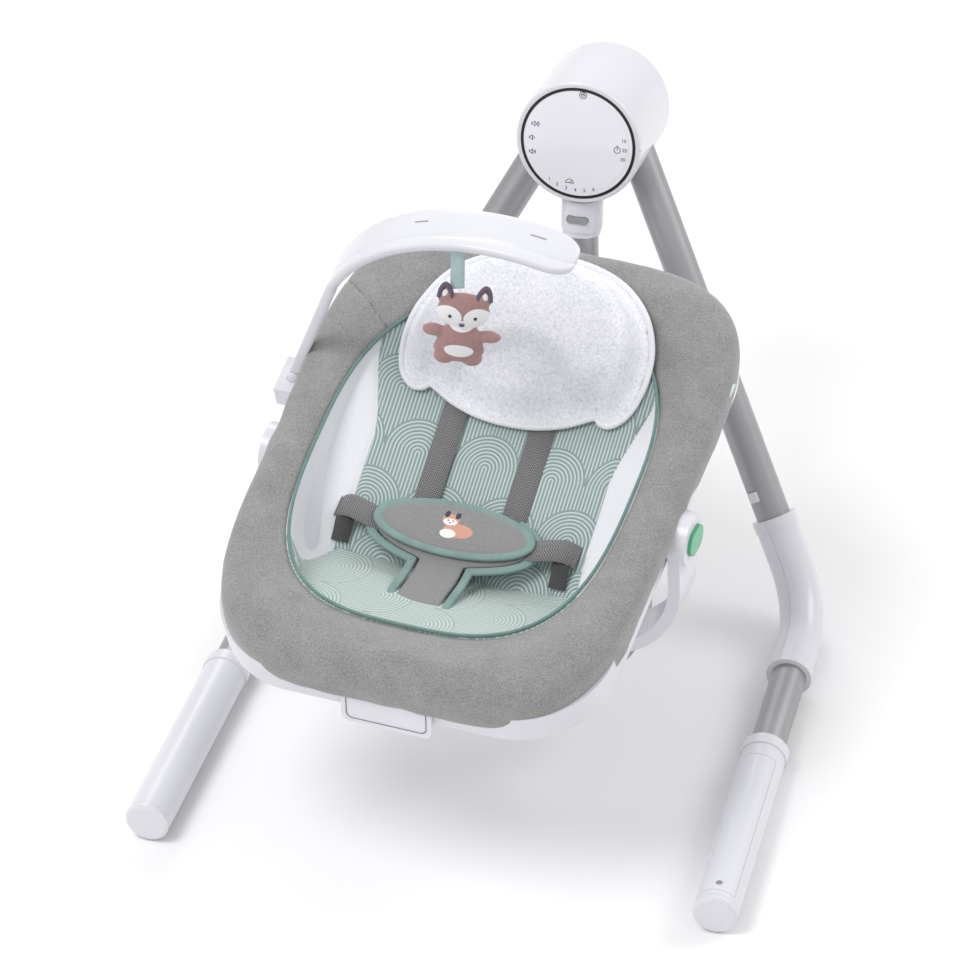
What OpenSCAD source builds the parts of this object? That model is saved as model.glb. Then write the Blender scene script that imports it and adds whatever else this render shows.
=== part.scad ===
// Baby swing: a padded seat on a swivel and recline carrier, hung from one bent arm under a powered hub.
// The hub stands on two splayed legs that run into floor tubes.
// Front is -Y, back is +Y, and left and right are as seen from the front, so +X is right.

/* [Frame] */
// Half the spacing of the front feet, centre to centre
foot_half = 285; // [250:1:320]
// How far the front feet reach ahead of the seat's swivel axis
foot_reach = 200; // [170:1:240]
// Height of the floor tube centre line above the floor
floor_z = 24; // [23:0.5:30]
// Radius of every metal tube
tube_r = 17.5; // [15:0.5:18]
// Wall of every metal tube
tube_wall = 1.3; // [1:0.1:2]
// Radius of the plastic foot sleeves and elbow sleeves
sleeve_r = 22; // [21:0.5:24]
// Length of each front foot sleeve
foot_len = 240; // [225:1:280]
// Centre line radius of the elbow between floor tube and leg
elbow_bend = 90; // [70:1:110]

/* [Hub] */
// Height of the hub's front face centre
hub_z = 454; // [420:1:500]
// Radius of the hub's outside
hub_r = 64; // [60:1:72]
// Length of the hub from front to back
hub_len = 126; // [110:1:150]
// Tilt of the hub's axis, front end up
hub_tilt = 14; // [5:1:20]
// Radius of the pivot shaft
shaft_r = 7; // [6:0.5:9]

/* [Seat] */
// Half the width of the padded rim
rim_half = 206; // [190:1:220]
// Length of the padded rim ahead of the seat centre
rim_front = 233; // [215:1:250]
// Length of the padded rim behind the seat centre
rim_back = 311; // [280:1:330]
// Half the width of the opening inside the rim
mouth_half = 165; // [150:1:175]
// Height of the seat centre above the floor
seat_z = 325; // [310:1:360]
// Resting tilt of the rim plane, head end up
seat_tilt = 15; // [5:1:20]
// Resting turn of the seat on its swivel
seat_turn = -5.6; // [-10:0.1:10]
// Sideways place of the swivel axis
seat_x = -8; // [-15:1:15]
// Wall of the seat bucket
bucket_wall = 4; // [3:0.5:6]

/* [Carrier] */
// Radius of the round swivel base
base_r = 59; // [52:1:66]
// Top of the swivel turntable above the floor
table_z = 150; // [145:1:155]
// Width of the carrier yoke, front to back
yoke_w = 50; // [40:1:60]

/* [Toy bar] */
// Outer radius of the toy bar's arch
bar_r = 205; // [185:1:220]
// Width of the toy bar's band
bar_w = 46; // [36:1:56]
// Thickness of the toy bar's band
bar_t = 11; // [8:0.5:14]

/* [Hidden] */
$fn = 64;
fit = 0.05;
gap = 0.3;
// A bend is drawn this much thinner than the straight runs that lap onto it
step = 0.05;
lap = 1;
// The layout is drawn around the seat's swivel axis at Y = -130, and this moves it over the footprint
shift_y = -29.35;
foot_y = -130 - foot_reach;
hub_y = 280;
seat_y = -129;
C = [270, 125, floor_z];
F = [foot_half, foot_y, floor_z];
H = [47, 331, hub_z - 39];
function unit(v) = v / norm(v);
fdir = unit(C - F);
ldir = unit(H - C);
function bend_t(a, b, R) = R * tan(acos(a * b) / 2);
elbow_t = bend_t(fdir, ldir, elbow_bend);
elbow_end = 100;
// Swing arm centre line: down out of the collar, across under the seat, then in to the swivel base
hub_down = [0, -sin(hub_tilt), -cos(hub_tilt)];
hub_back = [0, cos(hub_tilt), -sin(hub_tilt)];
hub_o = [0, hub_y, hub_z];
A0 = hub_o + 27 * hub_back + 73 * hub_down;
A1 = hub_o + 27 * hub_back + 142 * hub_down;
A2 = [150, -68, 98];
A3 = [seat_x, -130, 98];
a1 = unit(A2 - A1);
a2 = unit(A3 - A2);
arm_bend = 70;
// Split between the upper and the lower arm tube, measured back from the lower bend
arm_split = 175;
// Seat recline pivot
piv_y = -92;
piv_z = 300;

// ---------- helpers ----------
module T() { translate([0, shift_y, 0]) children(); }
// Everything above the swivel, turned about its axis
module TS() { T() translate([seat_x, -130, 0]) rotate([0, 0, seat_turn]) translate([0, 130, 0]) children(); }
module basis(o, ex, ey, ez) {
    multmatrix([
        [ex[0], ey[0], ez[0], o[0]],
        [ex[1], ey[1], ez[1], o[1]],
        [ex[2], ey[2], ez[2], o[2]],
        [0, 0, 0, 1]]) children();
}
function side_of(d) = abs(d[2]) > 0.9 ? unit(cross([0, 1, 0], d)) : unit(cross([0, 0, 1], d));
module rod(a, b, r) {
    d = unit(b - a);
    x = side_of(d);
    basis(a, x, cross(d, x), d) cylinder(r = r, h = norm(b - a));
}
// Torus sector that rounds the corner p between travel directions d1 and d2
module corner_at(p, d1, d2, R) {
    m = unit(d2 - (d1 * d2) * d1);
    o = p - bend_t(d1, d2, R) * d1 + R * m;
    basis(o, -m, d1, cross(-m, d1)) children();
}
module corner(p, d1, d2, R, r) {
    corner_at(p, d1, d2, R) rotate_extrude(angle = acos(d1 * d2)) translate([R, 0]) circle(r = r);
}
module hubf() { T() translate(hub_o) rotate([-hub_tilt, 0, 0]) children(); }
module seatf() { TS() translate([0, seat_y, seat_z]) rotate([seat_tilt, 0, 0]) children(); }
module cyl_y(r, y0, y1) { translate([0, y0, 0]) rotate([-90, 0, 0]) cylinder(r = r, h = y1 - y0); }
module cyl_x(r, x0, x1) { translate([x0, 0, 0]) rotate([0, 90, 0]) cylinder(r = r, h = x1 - x0); }
module box(a, b) { translate(a) cube(b - a); }
// Rounded rectangle from x = -hw to hw and y = y0 to y1
module rrect(hw, y0, y1, r) {
    translate([-hw, y0 + r]) square([2 * hw, y1 - y0 - 2 * r]);
    translate([-hw + r, y0]) square([2 * hw - 2 * r, y1 - y0]);
    for (x = [-hw + r, hw - r], y = [y0 + r, y1 - r]) translate([x, y]) circle(r = r);
}
module slab(hw, y0, y1, r, z0, z1) { translate([0, 0, z0]) linear_extrude(height = z1 - z0) rrect(hw, y0, y1, r); }
module stadium(w, h) {
    square([w - h, h], center = true);
    for (s = [-1, 1]) translate([s * (w - h) / 2, 0]) circle(d = h);
}

// ---------- hub ----------
// Round body with its rear edge rounded, in the hub's own frame with the front at y = 0
module hub_body(r, y0, y1, rr) {
    rotate([-90, 0, 0]) rotate_extrude() {
        translate([0, y0]) square([r, y1 - y0 - rr]);
        translate([0, y0]) square([r - rr, y1 - y0]);
        translate([r - rr, y1 - rr]) circle(r = rr);
    }
}
module leg_axis(r, from) { for (s = [-1, 1]) rod([s * C[0], C[1], C[2]] + from * [s * ldir[0], ldir[1], ldir[2]],
    [s * H[0], H[1], H[2]] + 8 * [s * ldir[0], ldir[1], ldir[2]], r); }
module hub_rear_housing() color("white") {
    difference() {
        union() {
            difference() {
                hubf() hub_body(hub_r, 5, hub_len, 10);
                hubf() difference() {
                    hub_body(hub_r - 3, 4, hub_len - 4, 8);
                    cyl_y(hub_r, 51, 55);
                }
            }
            intersection() {
                T() leg_axis(tube_r + 4, 300);
                hubf() cyl_y(hub_r - 2, 30, 100);
            }
            hubf() cyl_y(17, 48, 60);
            hubf() for (a = [45, 135, 225, 315]) rotate([0, a, 0]) {
                translate([44, 0, 0]) cyl_y(5, 100, hub_len - 6.1);
                translate([46, 100, -2]) cube([hub_r - 48, 19.9, 4]);
            }
        }
        T() leg_axis(tube_r + fit, 280);
        hubf() cyl_y(13, 49.5, 58);
        hubf() cyl_y(9, 40, 70);
        hubf() cyl_y(50 + gap, hub_len - 6, hub_len + 1);
        hubf() for (a = [45, 135, 225, 315]) rotate([0, a, 0]) translate([44, 0, 0]) cyl_y(1.5, 98, hub_len);
        hubf() rotate([-90, 0, 0]) translate([0, 0, 3]) linear_extrude(height = 45)
            polygon([[0, 0], [90 * sin(30), 90 * cos(30)], [0, 104], [-90 * sin(30), 90 * cos(30)]]);
    }
}
module inlet_at() { translate([-34, 0, 4]) children(); }
module hub_rear_cover() color("white") hubf() {
    difference() {
        union() {
            cyl_y(50, hub_len - 3.6, hub_len);
            cyl_y(16, 104, hub_len - 3);
            translate([0, 0, -40]) cyl_y(5, 102.2, hub_len - 3);
            inlet_at() cyl_y(8, 112, hub_len - 3);
        }
        cyl_y(13, 103, 112);
        inlet_at() cyl_y(5.6, 111, hub_len - 3);
        inlet_at() cyl_y(3.2, 111, hub_len + 1);
        for (a = [45, 135, 225, 315]) rotate([0, a, 0]) translate([44, 0, 0]) cyl_y(1.9, 98, hub_len + 1);
        for (a = [45, 135, 225, 315]) rotate([0, a, 0]) translate([44, 0, 0]) cyl_y(3.8, hub_len - 1.6, hub_len + 1);
        translate([14, 0, 26]) cyl_y(1.5, 110, hub_len + 1);
        for (a = [0:60:300]) translate([14 + 7 * cos(a), 0, 26 + 7 * sin(a)]) cyl_y(1.5, 110, hub_len + 1);
    }
}
module hub_screws() color("silver") hubf()
    for (a = [45, 135, 225, 315]) rotate([0, a, 0]) translate([44, 0, 0]) {
        cyl_y(1.45, 104, hub_len - 1);
        difference() {
            cyl_y(3.4, hub_len - 1.6, hub_len - 0.2);
            translate([-2.2, hub_len - 0.9, -0.5]) cube([4.4, 2, 1]);
        }
    }
module hub_front_bezel() color("white") hubf() difference() {
    rotate([-90, 0, 0]) rotate_extrude() {
        translate([hub_r - 5, -1]) square([3, 6]);
        translate([hub_r - 2.6, 1.6]) square([2.6, 3.2]);
        translate([hub_r - 2.6, 1.6]) circle(r = 2.6);
    }
    for (s = [-1, 1]) translate([s * (hub_r + 1), 2, 0]) cube([5, 8, 0.8], center = true);
}
module panel_ring() color("black") hubf() rotate([-90, 0, 0]) rotate_extrude()
    translate([hub_r - 8, -1.6]) square([2.7, 6]);
module control_panel() color("white") hubf() rotate([-90, 0, 0]) rotate_extrude() {
    translate([0, -1.2]) square([hub_r - 8.1, 3.6]);
    translate([0, -1.6]) square([hub_r - 12, 2]);
}
module circuit_board() color("green") hubf() {
    cyl_y(50, 5.2, 6.8);
    for (p = [[-18, 10], [12, 14], [20, -16], [-12, -20]])
        translate([p[0] - 5, 6.8, p[1] - 4]) cube([10, 1.6, 8]);
    translate([-6, 6.8, 24]) cube([12, 3, 6]);
}
module pivot_bearings() color("silver") hubf() for (y = [50, 103.6]) difference() {
    cyl_y(12.95, y, y + 7.5);
    cyl_y(shaft_r + fit, y - 1, y + 9);
}
module speaker() color("dimgray") hubf() translate([14, 0, 26]) {
    difference() { cyl_y(11, 110, 121.9); cyl_y(9.4, 118, 123); }
    cyl_y(6, 105, 110);
}
module power_inlet() color("black") hubf() inlet_at() difference() {
    cyl_y(5.5, 112, 122.9);
    cyl_y(2.9, 114, 124);
}
module drive_coil() color("chocolate") hubf() translate([0, 0, -40]) difference() {
    cyl_y(13, 94, 102);
    cyl_y(5, 93, 103);
}

// ---------- legs, elbows and floor tubes, drawn on the right and mirrored for the left ----------
module pipe(a, b, r, w) difference() {
    rod(a, b, r);
    rod(a - unit(b - a), b + unit(b - a), r - w);
}
// Frame on the leg with x along the snap button's travel outward and z up the leg
leg_in = unit(-fdir - (-fdir * ldir) * ldir);
leg_n = cross(leg_in, ldir);
btn_x = unit(leg_in + 0.3 * leg_n);
btn_o = C + 129 * ldir;
module leg_button_frame() T() basis(btn_o, btn_x, cross(ldir, btn_x), ldir) children();
module leg_tube() color("silver") difference() {
    T() pipe(C + (elbow_t + 2) * ldir, H + 6 * ldir, tube_r, tube_wall);
    leg_button_frame() translate([0, -5.7, -5.7]) cube([30, 11.4, 11.4]);
}
module leg_tube_right() leg_tube();
module leg_tube_left() mirror([1, 0, 0]) leg_tube();
module snap_button(reach) {
    difference() {
        translate([reach - 9, -5.3, -5.3]) cube([11.2, 10.6, 10.6]);
        translate([reach + 2.8, -6, 4.6]) rotate([0, 45, 0]) cube([3, 12, 3]);
    }
    translate([reach - 9.5, -7.5, -7.5]) cube([3, 15, 15]);
}
module leg_button_right() color("white") leg_button_frame() snap_button(tube_r);
module leg_button_left() mirror([1, 0, 0]) leg_button_right();
// A point or direction on the right (m = 1) or its mirror image on the left (m = -1)
function mx(v, m) = [m * v[0], v[1], v[2]];
module elbow_sleeve(r, m) {
    c = mx(C, m);
    f = mx(fdir, m);
    l = mx(ldir, m);
    rod(c - elbow_end * f, c - (elbow_t - lap) * f, r);
    corner(c, f, l, elbow_bend, r - step);
    rod(c + (elbow_t - lap) * l, c + elbow_end * l, r);
}
module elbow_half(side, m) {
    c = mx(C, m);
    f = mx(fdir, m);
    l = mx(ldir, m);
    T() difference() {
        intersection() {
            union() {
                elbow_sleeve(sleeve_r, m);
                rod(c - (elbow_end + 3) * f, c - (elbow_end - 9) * f, sleeve_r + 1);
                rod(c + (elbow_end - 9) * l, c + (elbow_end + 3) * l, sleeve_r + 1);
            }
            corner_at(c, f, l, elbow_bend)
                translate([-400, -400, side * m > 0 ? 0.15 : -60.15]) cube([800, 800, 60]);
        }
        corner(c, f, l, elbow_bend, tube_r - 1.5);
        rod(c - 140 * f, c - (elbow_t - lap) * f, tube_r + fit);
        rod(c + (elbow_t - lap) * l, c + 140 * l, tube_r + fit);
    }
}
module elbow_right_outer() color("white") elbow_half(1, 1);
module elbow_right_inner() color("white") elbow_half(-1, 1);
module elbow_left_outer() color("white") elbow_half(1, -1);
module elbow_left_inner() color("white") elbow_half(-1, -1);
tube_in = 24;
module floor_tube() color("silver")
    T() pipe(F + (foot_len - tube_in) * fdir, C - (elbow_t + 2) * fdir, tube_r, tube_wall);
module floor_tube_right() floor_tube();
module floor_tube_left() mirror([1, 0, 0]) floor_tube();
// Frame on the foot with z along the sleeve from its front end and y up
module footf() {
    T() basis(F, cross([0, 0, 1], fdir) * -1, [0, 0, 1], fdir) children();
}
module foot_shell() difference() {
    union() {
        translate([0, 0, 6]) cylinder(r = sleeve_r, h = foot_len - 18);
        translate([0, 0, foot_len - 13]) cylinder(r = sleeve_r + 1.2, h = 13);
    }
    translate([0, 0, 5]) cylinder(r = sleeve_r - 2.3, h = foot_len - tube_in - 7);
    translate([0, 0, foot_len - tube_in - 1]) cylinder(r = tube_r + fit, h = 60);
}
module door_wedge(a, z0, z1) translate([0, 0, z0]) linear_extrude(height = z1 - z0)
    polygon([[0, 0], [60 * sin(a), 60 * cos(a)], [0, 90], [-60 * sin(a), 60 * cos(a)]]);
module foot_sleeve_left() color("white") mirror([1, 0, 0]) footf() foot_shell();
module battery_case_right() color("white") footf() difference() {
    foot_shell();
    door_wedge(50, 12, foot_len - 30);
}
module battery_door() color("white") footf() difference() {
    intersection() {
        difference() {
            cylinder(r = sleeve_r, h = foot_len);
            translate([0, 0, -1]) cylinder(r = sleeve_r - 2.3, h = foot_len + 2);
        }
        door_wedge(49, 12.4, foot_len - 30.4);
    }
    translate([0, 18, 22]) rotate([-90, 0, 0]) cylinder(r = 3.3, h = 10);
}
module door_screw() color("silver") footf() translate([0, 0, 22]) rotate([-90, 0, 0]) difference() {
    union() {
        translate([0, 0, 20.2]) cylinder(r = 3.1, h = 1.4);
        translate([0, 0, 15.5]) cylinder(r = 1.4, h = 5.5);
    }
    translate([-2.4, -0.45, 21]) cube([4.8, 0.9, 2]);
    translate([-0.45, -2.4, 21]) cube([0.9, 4.8, 2]);
}
module batteries() color("gray") footf() for (i = [0:3]) translate([0, -2, 13 + i * 50]) {
    cylinder(r = 13, h = 48.2);
    translate([0, 0, 48.2]) cylinder(r = 3, h = 1.5);
}
module battery_contacts() color("silver") footf() {
    translate([-8, -12, 7.4]) cube([16, 20, 0.8]);
    translate([0, -2, 8.2]) cylinder(r = 5, h = 4.4);
    translate([-8, -12, foot_len - tube_in - 2.9]) cube([16, 20, 0.8]);
}
module end_cap() footf() {
    cylinder(r = sleeve_r, h = 5.8);
    translate([0, 0, -1.5]) cylinder(r1 = sleeve_r - 3, r2 = sleeve_r, h = 1.5);
    difference() {
        translate([0, 0, 5.8]) cylinder(r = sleeve_r - 2.6, h = 1.4);
        translate([0, 0, 5.8]) cylinder(r = sleeve_r - 5, h = 2);
    }
}
module foot_end_caps() color("white") {
    end_cap();
    mirror([1, 0, 0]) end_cap();
}
module pads_one_side() {
    footf() difference() {
        translate([-9, -floor_z, 10]) cube([18, 10, 26]);
        translate([0, 0, 0]) cylinder(r = sleeve_r + 0.02, h = 60);
    }
    T() difference() {
        translate([C[0] - 9, 62, 0]) cube([18, 46, 15]);
        elbow_sleeve(sleeve_r + 0.02, 1);
    }
}
module floor_pads() color("dimgray") {
    pads_one_side();
    mirror([1, 0, 0]) pads_one_side();
}

// ---------- swing arm ----------
module pivot_shaft() color("silver") hubf() {
    cyl_y(shaft_r, 12, 111);
    cyl_y(10.5, 60.5, 64);
    difference() {
        box([-9, 84, -34], [9, 89, 10]);
        cyl_y(shaft_r - 1, 80, 92);
    }
}
module drive_magnet() color("dimgray") hubf() box([-11, 84, -50], [11, 92, -34.05]);
module arm_collar() color("white") hubf() difference() {
    union() {
        cyl_y(18, 14, 44);
        box([-13, 16, -69], [13, 42, -12]);
        translate([0, 27, -100]) cylinder(r = 21, h = 33);
        translate([0, 27, -106]) cylinder(r = 19.6, h = 7);
    }
    cyl_y(shaft_r + 0.02, 10, 48);
    translate([0, 27, -120]) cylinder(r = tube_r + fit, h = 47);
    translate([0, 12, -86]) rotate([90, 0, 0]) linear_extrude(height = 10) stadium(23, 8.6);
}
module arm_release() color("gray") hubf() translate([0, 9.4, -86]) rotate([90, 0, 0])
    linear_extrude(height = 4.2) stadium(22, 7.8);
module arm_path(r, from_start, to_split) {
    t1 = bend_t(hub_down, a1, 80);
    rod(A0 - from_start * hub_down, A1 - (t1 - lap) * hub_down, r);
    corner(A1, hub_down, a1, 80, r - step);
    rod(A1 + (t1 - lap) * a1, A2 - (arm_split - to_split) * a1, r);
}
module swing_arm_upper() color("silver") T() difference() {
    arm_path(tube_r, 0, 0);
    arm_path(tube_r - tube_wall, 1, 1);
    // window that the collar's release is pressed into
    translate(hub_o) rotate([-hub_tilt, 0, 0]) translate([0, 14, -86]) rotate([90, 0, 0])
        linear_extrude(height = 8) stadium(22 + 2 * gap, 7.8 + 2 * gap);
}
module arm_low_path(r, e) {
    t2 = bend_t(a1, a2, arm_bend);
    rod(A2 - (arm_split + e) * a1, A2 - (t2 - lap) * a1, r);
    corner(A2, a1, a2, arm_bend, r - step);
    rod(A2 + (t2 - lap) * a2, A3 - (24 - e) * a2, r);
}
arm_n = unit(cross(a1, a2));
arm_out = unit(cross(a1, arm_n));
abtn_o = A2 - 92 * a1;
module arm_button_frame() T() basis(abtn_o, arm_out, cross(a1, arm_out), a1) children();
module swing_arm_lower() color("silver") difference() {
    T() difference() {
        union() {
            arm_low_path(tube_r, -0.4);
            rod(A2 - (arm_split + 40) * a1, A2 - (arm_split - 10) * a1, tube_r - tube_wall - fit);
        }
        arm_low_path(tube_r - tube_wall - 1.4, 1);
        rod(A2 - (arm_split + 42) * a1, A2 - (arm_split - 14) * a1, tube_r - tube_wall - 1.5);
    }
    arm_button_frame() translate([0, -5.7, -5.7]) cube([30, 11.4, 11.4]);
}
module arm_button() color("white") arm_button_frame() snap_button(tube_r);
module swivel_base() color("white") T() difference() {
    union() {
        difference() {
            translate([seat_x, -130, 0]) rotate_extrude() polygon([[0, 78], [44, 78], [48, 82],
                [base_r, 110], [base_r, 126], [0, 126]]);
            translate([seat_x, -130, 0]) rotate_extrude() polygon([[26, 81], [42.5, 81], [45.5, 84],
                [base_r - 3, 111], [base_r - 3, 120], [26, 120]]);
        }
        intersection() {
            rod(A3 - 22 * a2, A3 - 58 * a2, tube_r + 4);
            translate([seat_x, -130, 79]) cylinder(r = base_r - 1, h = 46);
        }
    }
    rod(A3 - 23.5 * a2, A3 - 90 * a2, tube_r + fit);
    translate([seat_x, -130, 119]) cylinder(r = 25 + fit, h = 10);
}

// ---------- swivel carrier ----------
module turntable() color("white") TS() translate([0, -130, 0]) difference() {
    union() {
        translate([0, 0, 126.3]) cylinder(r = base_r, h = table_z - 126.3);
        translate([0, 0, 119.4]) cylinder(r = 25, h = 8);
    }
    translate([0, 0, 126]) rotate_extrude() polygon([[29, 0], [base_r - 4, 0], [base_r - 4, 18], [29, 18]]);
}
yr = 92;
yk = 12;
module yoke_region(r) {
    intersection() {
        for (s = [-1, 1]) translate([s * 110, table_z + yk + yr]) circle(r = r);
        translate([-250, table_z - 10]) square([500, yk + yr + 10.01]);
    }
    translate([-110, table_z + yk + yr - r]) square([220, r]);
    translate([-110 - r, table_z + yk + yr]) square([220 + 2 * r, piv_z - table_z - yk - yr]);
}
module seat_yoke() color("white") TS() difference() {
    union() {
        translate([0, piv_y + yoke_w / 2, 0]) rotate([90, 0, 0]) linear_extrude(height = yoke_w) difference() {
            yoke_region(yr + yk);
            yoke_region(yr);
            translate([-202, piv_z - 20]) square([404, 40]);
        }
        for (s = [-1, 1]) translate([0, piv_y, piv_z]) cyl_x(27, s > 0 ? 202 : -220, s > 0 ? 220 : -202);
    }
    for (s = [-1, 1]) translate([0, piv_y, piv_z]) {
        cyl_x(8 + fit, s > 0 ? 195 : -207, s > 0 ? 207 : -195);
        translate([s > 0 ? 207.8 : -221, 0, 0]) rotate([90, 0, 90]) linear_extrude(height = 13.2) stadium(36, 26);
    }
    // corners cut back so that the yoke turns clear of the rising arm
    translate([0, -130, 0]) rotate_extrude() polygon([[158, 149], [174, 170], [218, 210], [260, 210], [260, 149]]);
}
module seat_release(s) color("mediumseagreen") TS() translate([s > 0 ? 211.5 : -223.5, piv_y, piv_z])
    rotate([90, 0, 90]) linear_extrude(height = 12) stadium(35.2, 25.2);
module seat_release_left() seat_release(-1);
module seat_release_right() seat_release(1);

// ---------- seat shell ----------
// Bucket solid inset by t: side profile, front profile and plan outline taken together
module bucket(t, top) intersection() {
    rotate([90, 0, 90]) translate([0, 0, -200]) linear_extrude(height = 400) side_profile(40 - t, top);
    rotate([90, 0, 0]) translate([0, 0, -350]) linear_extrude(height = 700) front_profile(172 - t, top);
    slab(mouth_half + 7 - t, -170 + t, 243 - t, 105 - t, -200, top);
}
side_pts = [[-130, 60], [-120, -78], [-40, -85], [203, -12], [203, 60]];
// Outward direction angle of the edge that leaves side point i
function edge_out(i) = let(n = len(side_pts), d = side_pts[(i + 1) % n] - side_pts[i % n])
    atan2(-d[0], d[1]);
function turn(i) = let(n = len(side_pts), t = edge_out(i) - edge_out(i + n - 1)) t < 0 ? t + 360 : t;
module side_profile(r, top) {
    n = len(side_pts);
    polygon([for (i = [0:n - 1], k = [0:5]) let(a = edge_out(i + n - 1) + turn(i) * k / 5)
        side_pts[i] + r * [cos(a), sin(a)]]);
}
module front_profile(r, top) {
    translate([0, 40]) circle(r = r);
}
ring_in = 8;
module seat_shell() color("white") seatf() difference() {
    union() {
        bucket(0, -20);
        slab(rim_half - ring_in, -rim_front + ring_in, rim_back - ring_in, 92, -20.5, -17.3);
        difference() {
            slab(rim_half - ring_in, -rim_front + ring_in, rim_back - ring_in, 92, -50, -18);
            slab(rim_half - ring_in - 3, -rim_front + ring_in + 3, rim_back - ring_in - 3, 89, -52, -17);
        }
        // socket block of the toy bar on the left side
        box([-246, 104, -66], [-190, 146, -42]);
        for (s = [-1, 1]) seat_pin(s, 14, 178, 201.7);
    }
    bucket(bucket_wall, 12);
    translate([bar_e[0], 125, -64]) cylinder(r = 9 + fit, h = 30);
    badge_frame() translate([0, 0, -fit]) linear_extrude(height = 4) stadium_plate(92 + 2 * fit, 42 + 2 * fit, 8 + fit);
}
module seat_pin(s, r, x0, x1) rotate([-seat_tilt, 0, 0])
    translate([0, piv_y - seat_y, piv_z - seat_z]) cyl_x(r, s > 0 ? x0 : -x1, s > 0 ? x1 : -x0);
module recline_pins() color("silver") for (s = [-1, 1]) TS() translate([0, piv_y, piv_z])
    cyl_x(8, s > 0 ? 201.75 : -206.6, s > 0 ? 206.6 : -201.75);
module badge_frame() translate([0, -rim_front + 5.6, -41]) rotate([72, 0, 0]) children();
module badge_plate() color("white") seatf() badge_frame() {
    linear_extrude(height = 3) difference() { stadium_plate(92, 42, 8); }
    translate([0, 0, 2.9]) linear_extrude(height = 0.5) difference() {
        stadium_plate(82, 32, 6);
        stadium_plate(80.6, 30.6, 5.4);
    }
}
module stadium_plate(w, h, r) {
    square([w - 2 * r, h], center = true);
    square([w, h - 2 * r], center = true);
    for (x = [-1, 1], y = [-1, 1]) translate([x * (w / 2 - r), y * (h / 2 - r)]) circle(r = r);
}

// ---------- soft goods, as simple closed solids ----------
module rim_cushion() color("darkgray") seatf() difference() {
    union() {
        slab(rim_half, -rim_front, rim_back, 100, -17, 11);
        slab(rim_half - 9, -rim_front + 9, rim_back - 9, 92, 10, 19);
    }
    slab(mouth_half, -163, 235, 100, -20, 20);
    // rounded hollows over the ears of the yoke
    for (s = [-1, 1]) seat_pin(s, 27.6, 198, 240);
    // hollow that the leg of the toy bar turns in
    translate([bar_e[0], bar_v, -20]) cylinder(r = 29, h = 31.5);
}
module rim_piping() color("cadetblue") seatf() difference() {
    slab(mouth_half - 0.1, -162.9, 234.9, 99.9, 11, 15);
    slab(mouth_half - 4, -159, 231, 96, 10, 16);
}
module seat_liner() color("lightblue") seatf() difference() {
    intersection() {
        bucket(bucket_wall + 0.3, 9);
        slab(mouth_half - 0.4, -162.6, 234.6, 99.6, -200, 9);
    }
    bucket(bucket_wall + 9, 12);
}
module headrest() color("whitesmoke") seatf() difference() {
    intersection() {
        rotate([90, 0, 90]) translate([0, 0, -140]) linear_extrude(height = 280)
            polygon([[72, -74], [180, -40], [228, 19.6], [290, 19.6], [294, 34], [236, 50], [180, 14],
                [120, -22], [72, -46]]);
        slab(126, 60, 292, 62, -100, 80);
    }
    // kept off the liner, the piping and the rim
    difference() {
        slab(rim_half, -rim_front, rim_back + 20, 100, -200, 9.3);
        bucket(bucket_wall + 9.3, 20);
    }
    difference() {
        slab(rim_half, -rim_front, rim_back + 20, 100, 9, 19.3);
        slab(mouth_half - 4.3, -158.7, 230.7, 95.7, 8, 30);
    }
}
// Line on the seat back that the straps lie on, as height over the rim plane at a distance v
function back_w(v) = -85 + (v + 40) * 73 / 243 - 27 * 1.044;
module band(u0, v0, w0, v1, w1, width, t) rotate([90, 0, 90]) translate([0, 0, u0 - width / 2])
    linear_extrude(height = width) polygon([[v0, w0], [v1, w1], [v1, w1 + t], [v0, w0 + t]]);
module shoulder_strap(s) color("gray") seatf() band(s * 46 - 6, 70, back_w(70) + 1, 12, -43, 25, 2.4);
module shoulder_strap_left() shoulder_strap(-1);
module shoulder_strap_right() shoulder_strap(1);
module waist_strap(s) color("gray") seatf() rotate([90, 0, 0]) translate([0, 0, 6]) linear_extrude(height = 24)
    polygon([[s * 66 - 8, -44], [s * 124, -50], [s * 124, -47.6], [s * 66 - 8, -41.6]]);
module waist_strap_left() waist_strap(-1);
module waist_strap_right() waist_strap(1);
module lap_pad() color("gray") seatf() translate([-8, -18, -36]) linear_extrude(height = 8) stadium(166, 66);
module lap_pad_piping() color("cadetblue") seatf() translate([-8, -18, -34]) linear_extrude(height = 5) difference() {
    stadium(174, 74);
    stadium(166.2, 66.2);
}
module crotch_strap() color("gray") seatf() rotate([90, 0, 90]) translate([0, 0, -36])
    linear_extrude(height = 48)
        polygon([[2, -43.1], [-84, -46], [-106, -104], [-102, -106], [-79, -51], [2, -48]]);
module buckle() color("dimgray") seatf() box([-31, -34, -42.9], [15, -2, -36.1]);
module side_tag() color("white") seatf() box([rim_half + 0.1, 168, -10], [rim_half + 9, 186, -9]);

// ---------- toy bar and toy ----------
bar_v = 125;
bar_c = [24, 54];
bar_a0 = 62;
bar_a1 = 158.7;
module bar_frame() seatf() translate([0, bar_v, 0]) rotate([90, 0, 0]) children();
bar_p = [bar_c[0] + (bar_r - bar_t / 2) * cos(bar_a1), bar_c[1] + (bar_r - bar_t / 2) * sin(bar_a1)];
bar_e = [-230, -36];
// An arc of the bar between two angles about the arch centre
module bar_arc(a, b, inset = 0) translate([bar_c[0], bar_c[1], 0]) rotate([0, 0, a])
    rotate_extrude(angle = b - a)
        translate([bar_r - bar_t + inset, inset - bar_w / 2]) square([bar_t - 2 * inset, bar_w - 2 * inset]);
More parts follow.
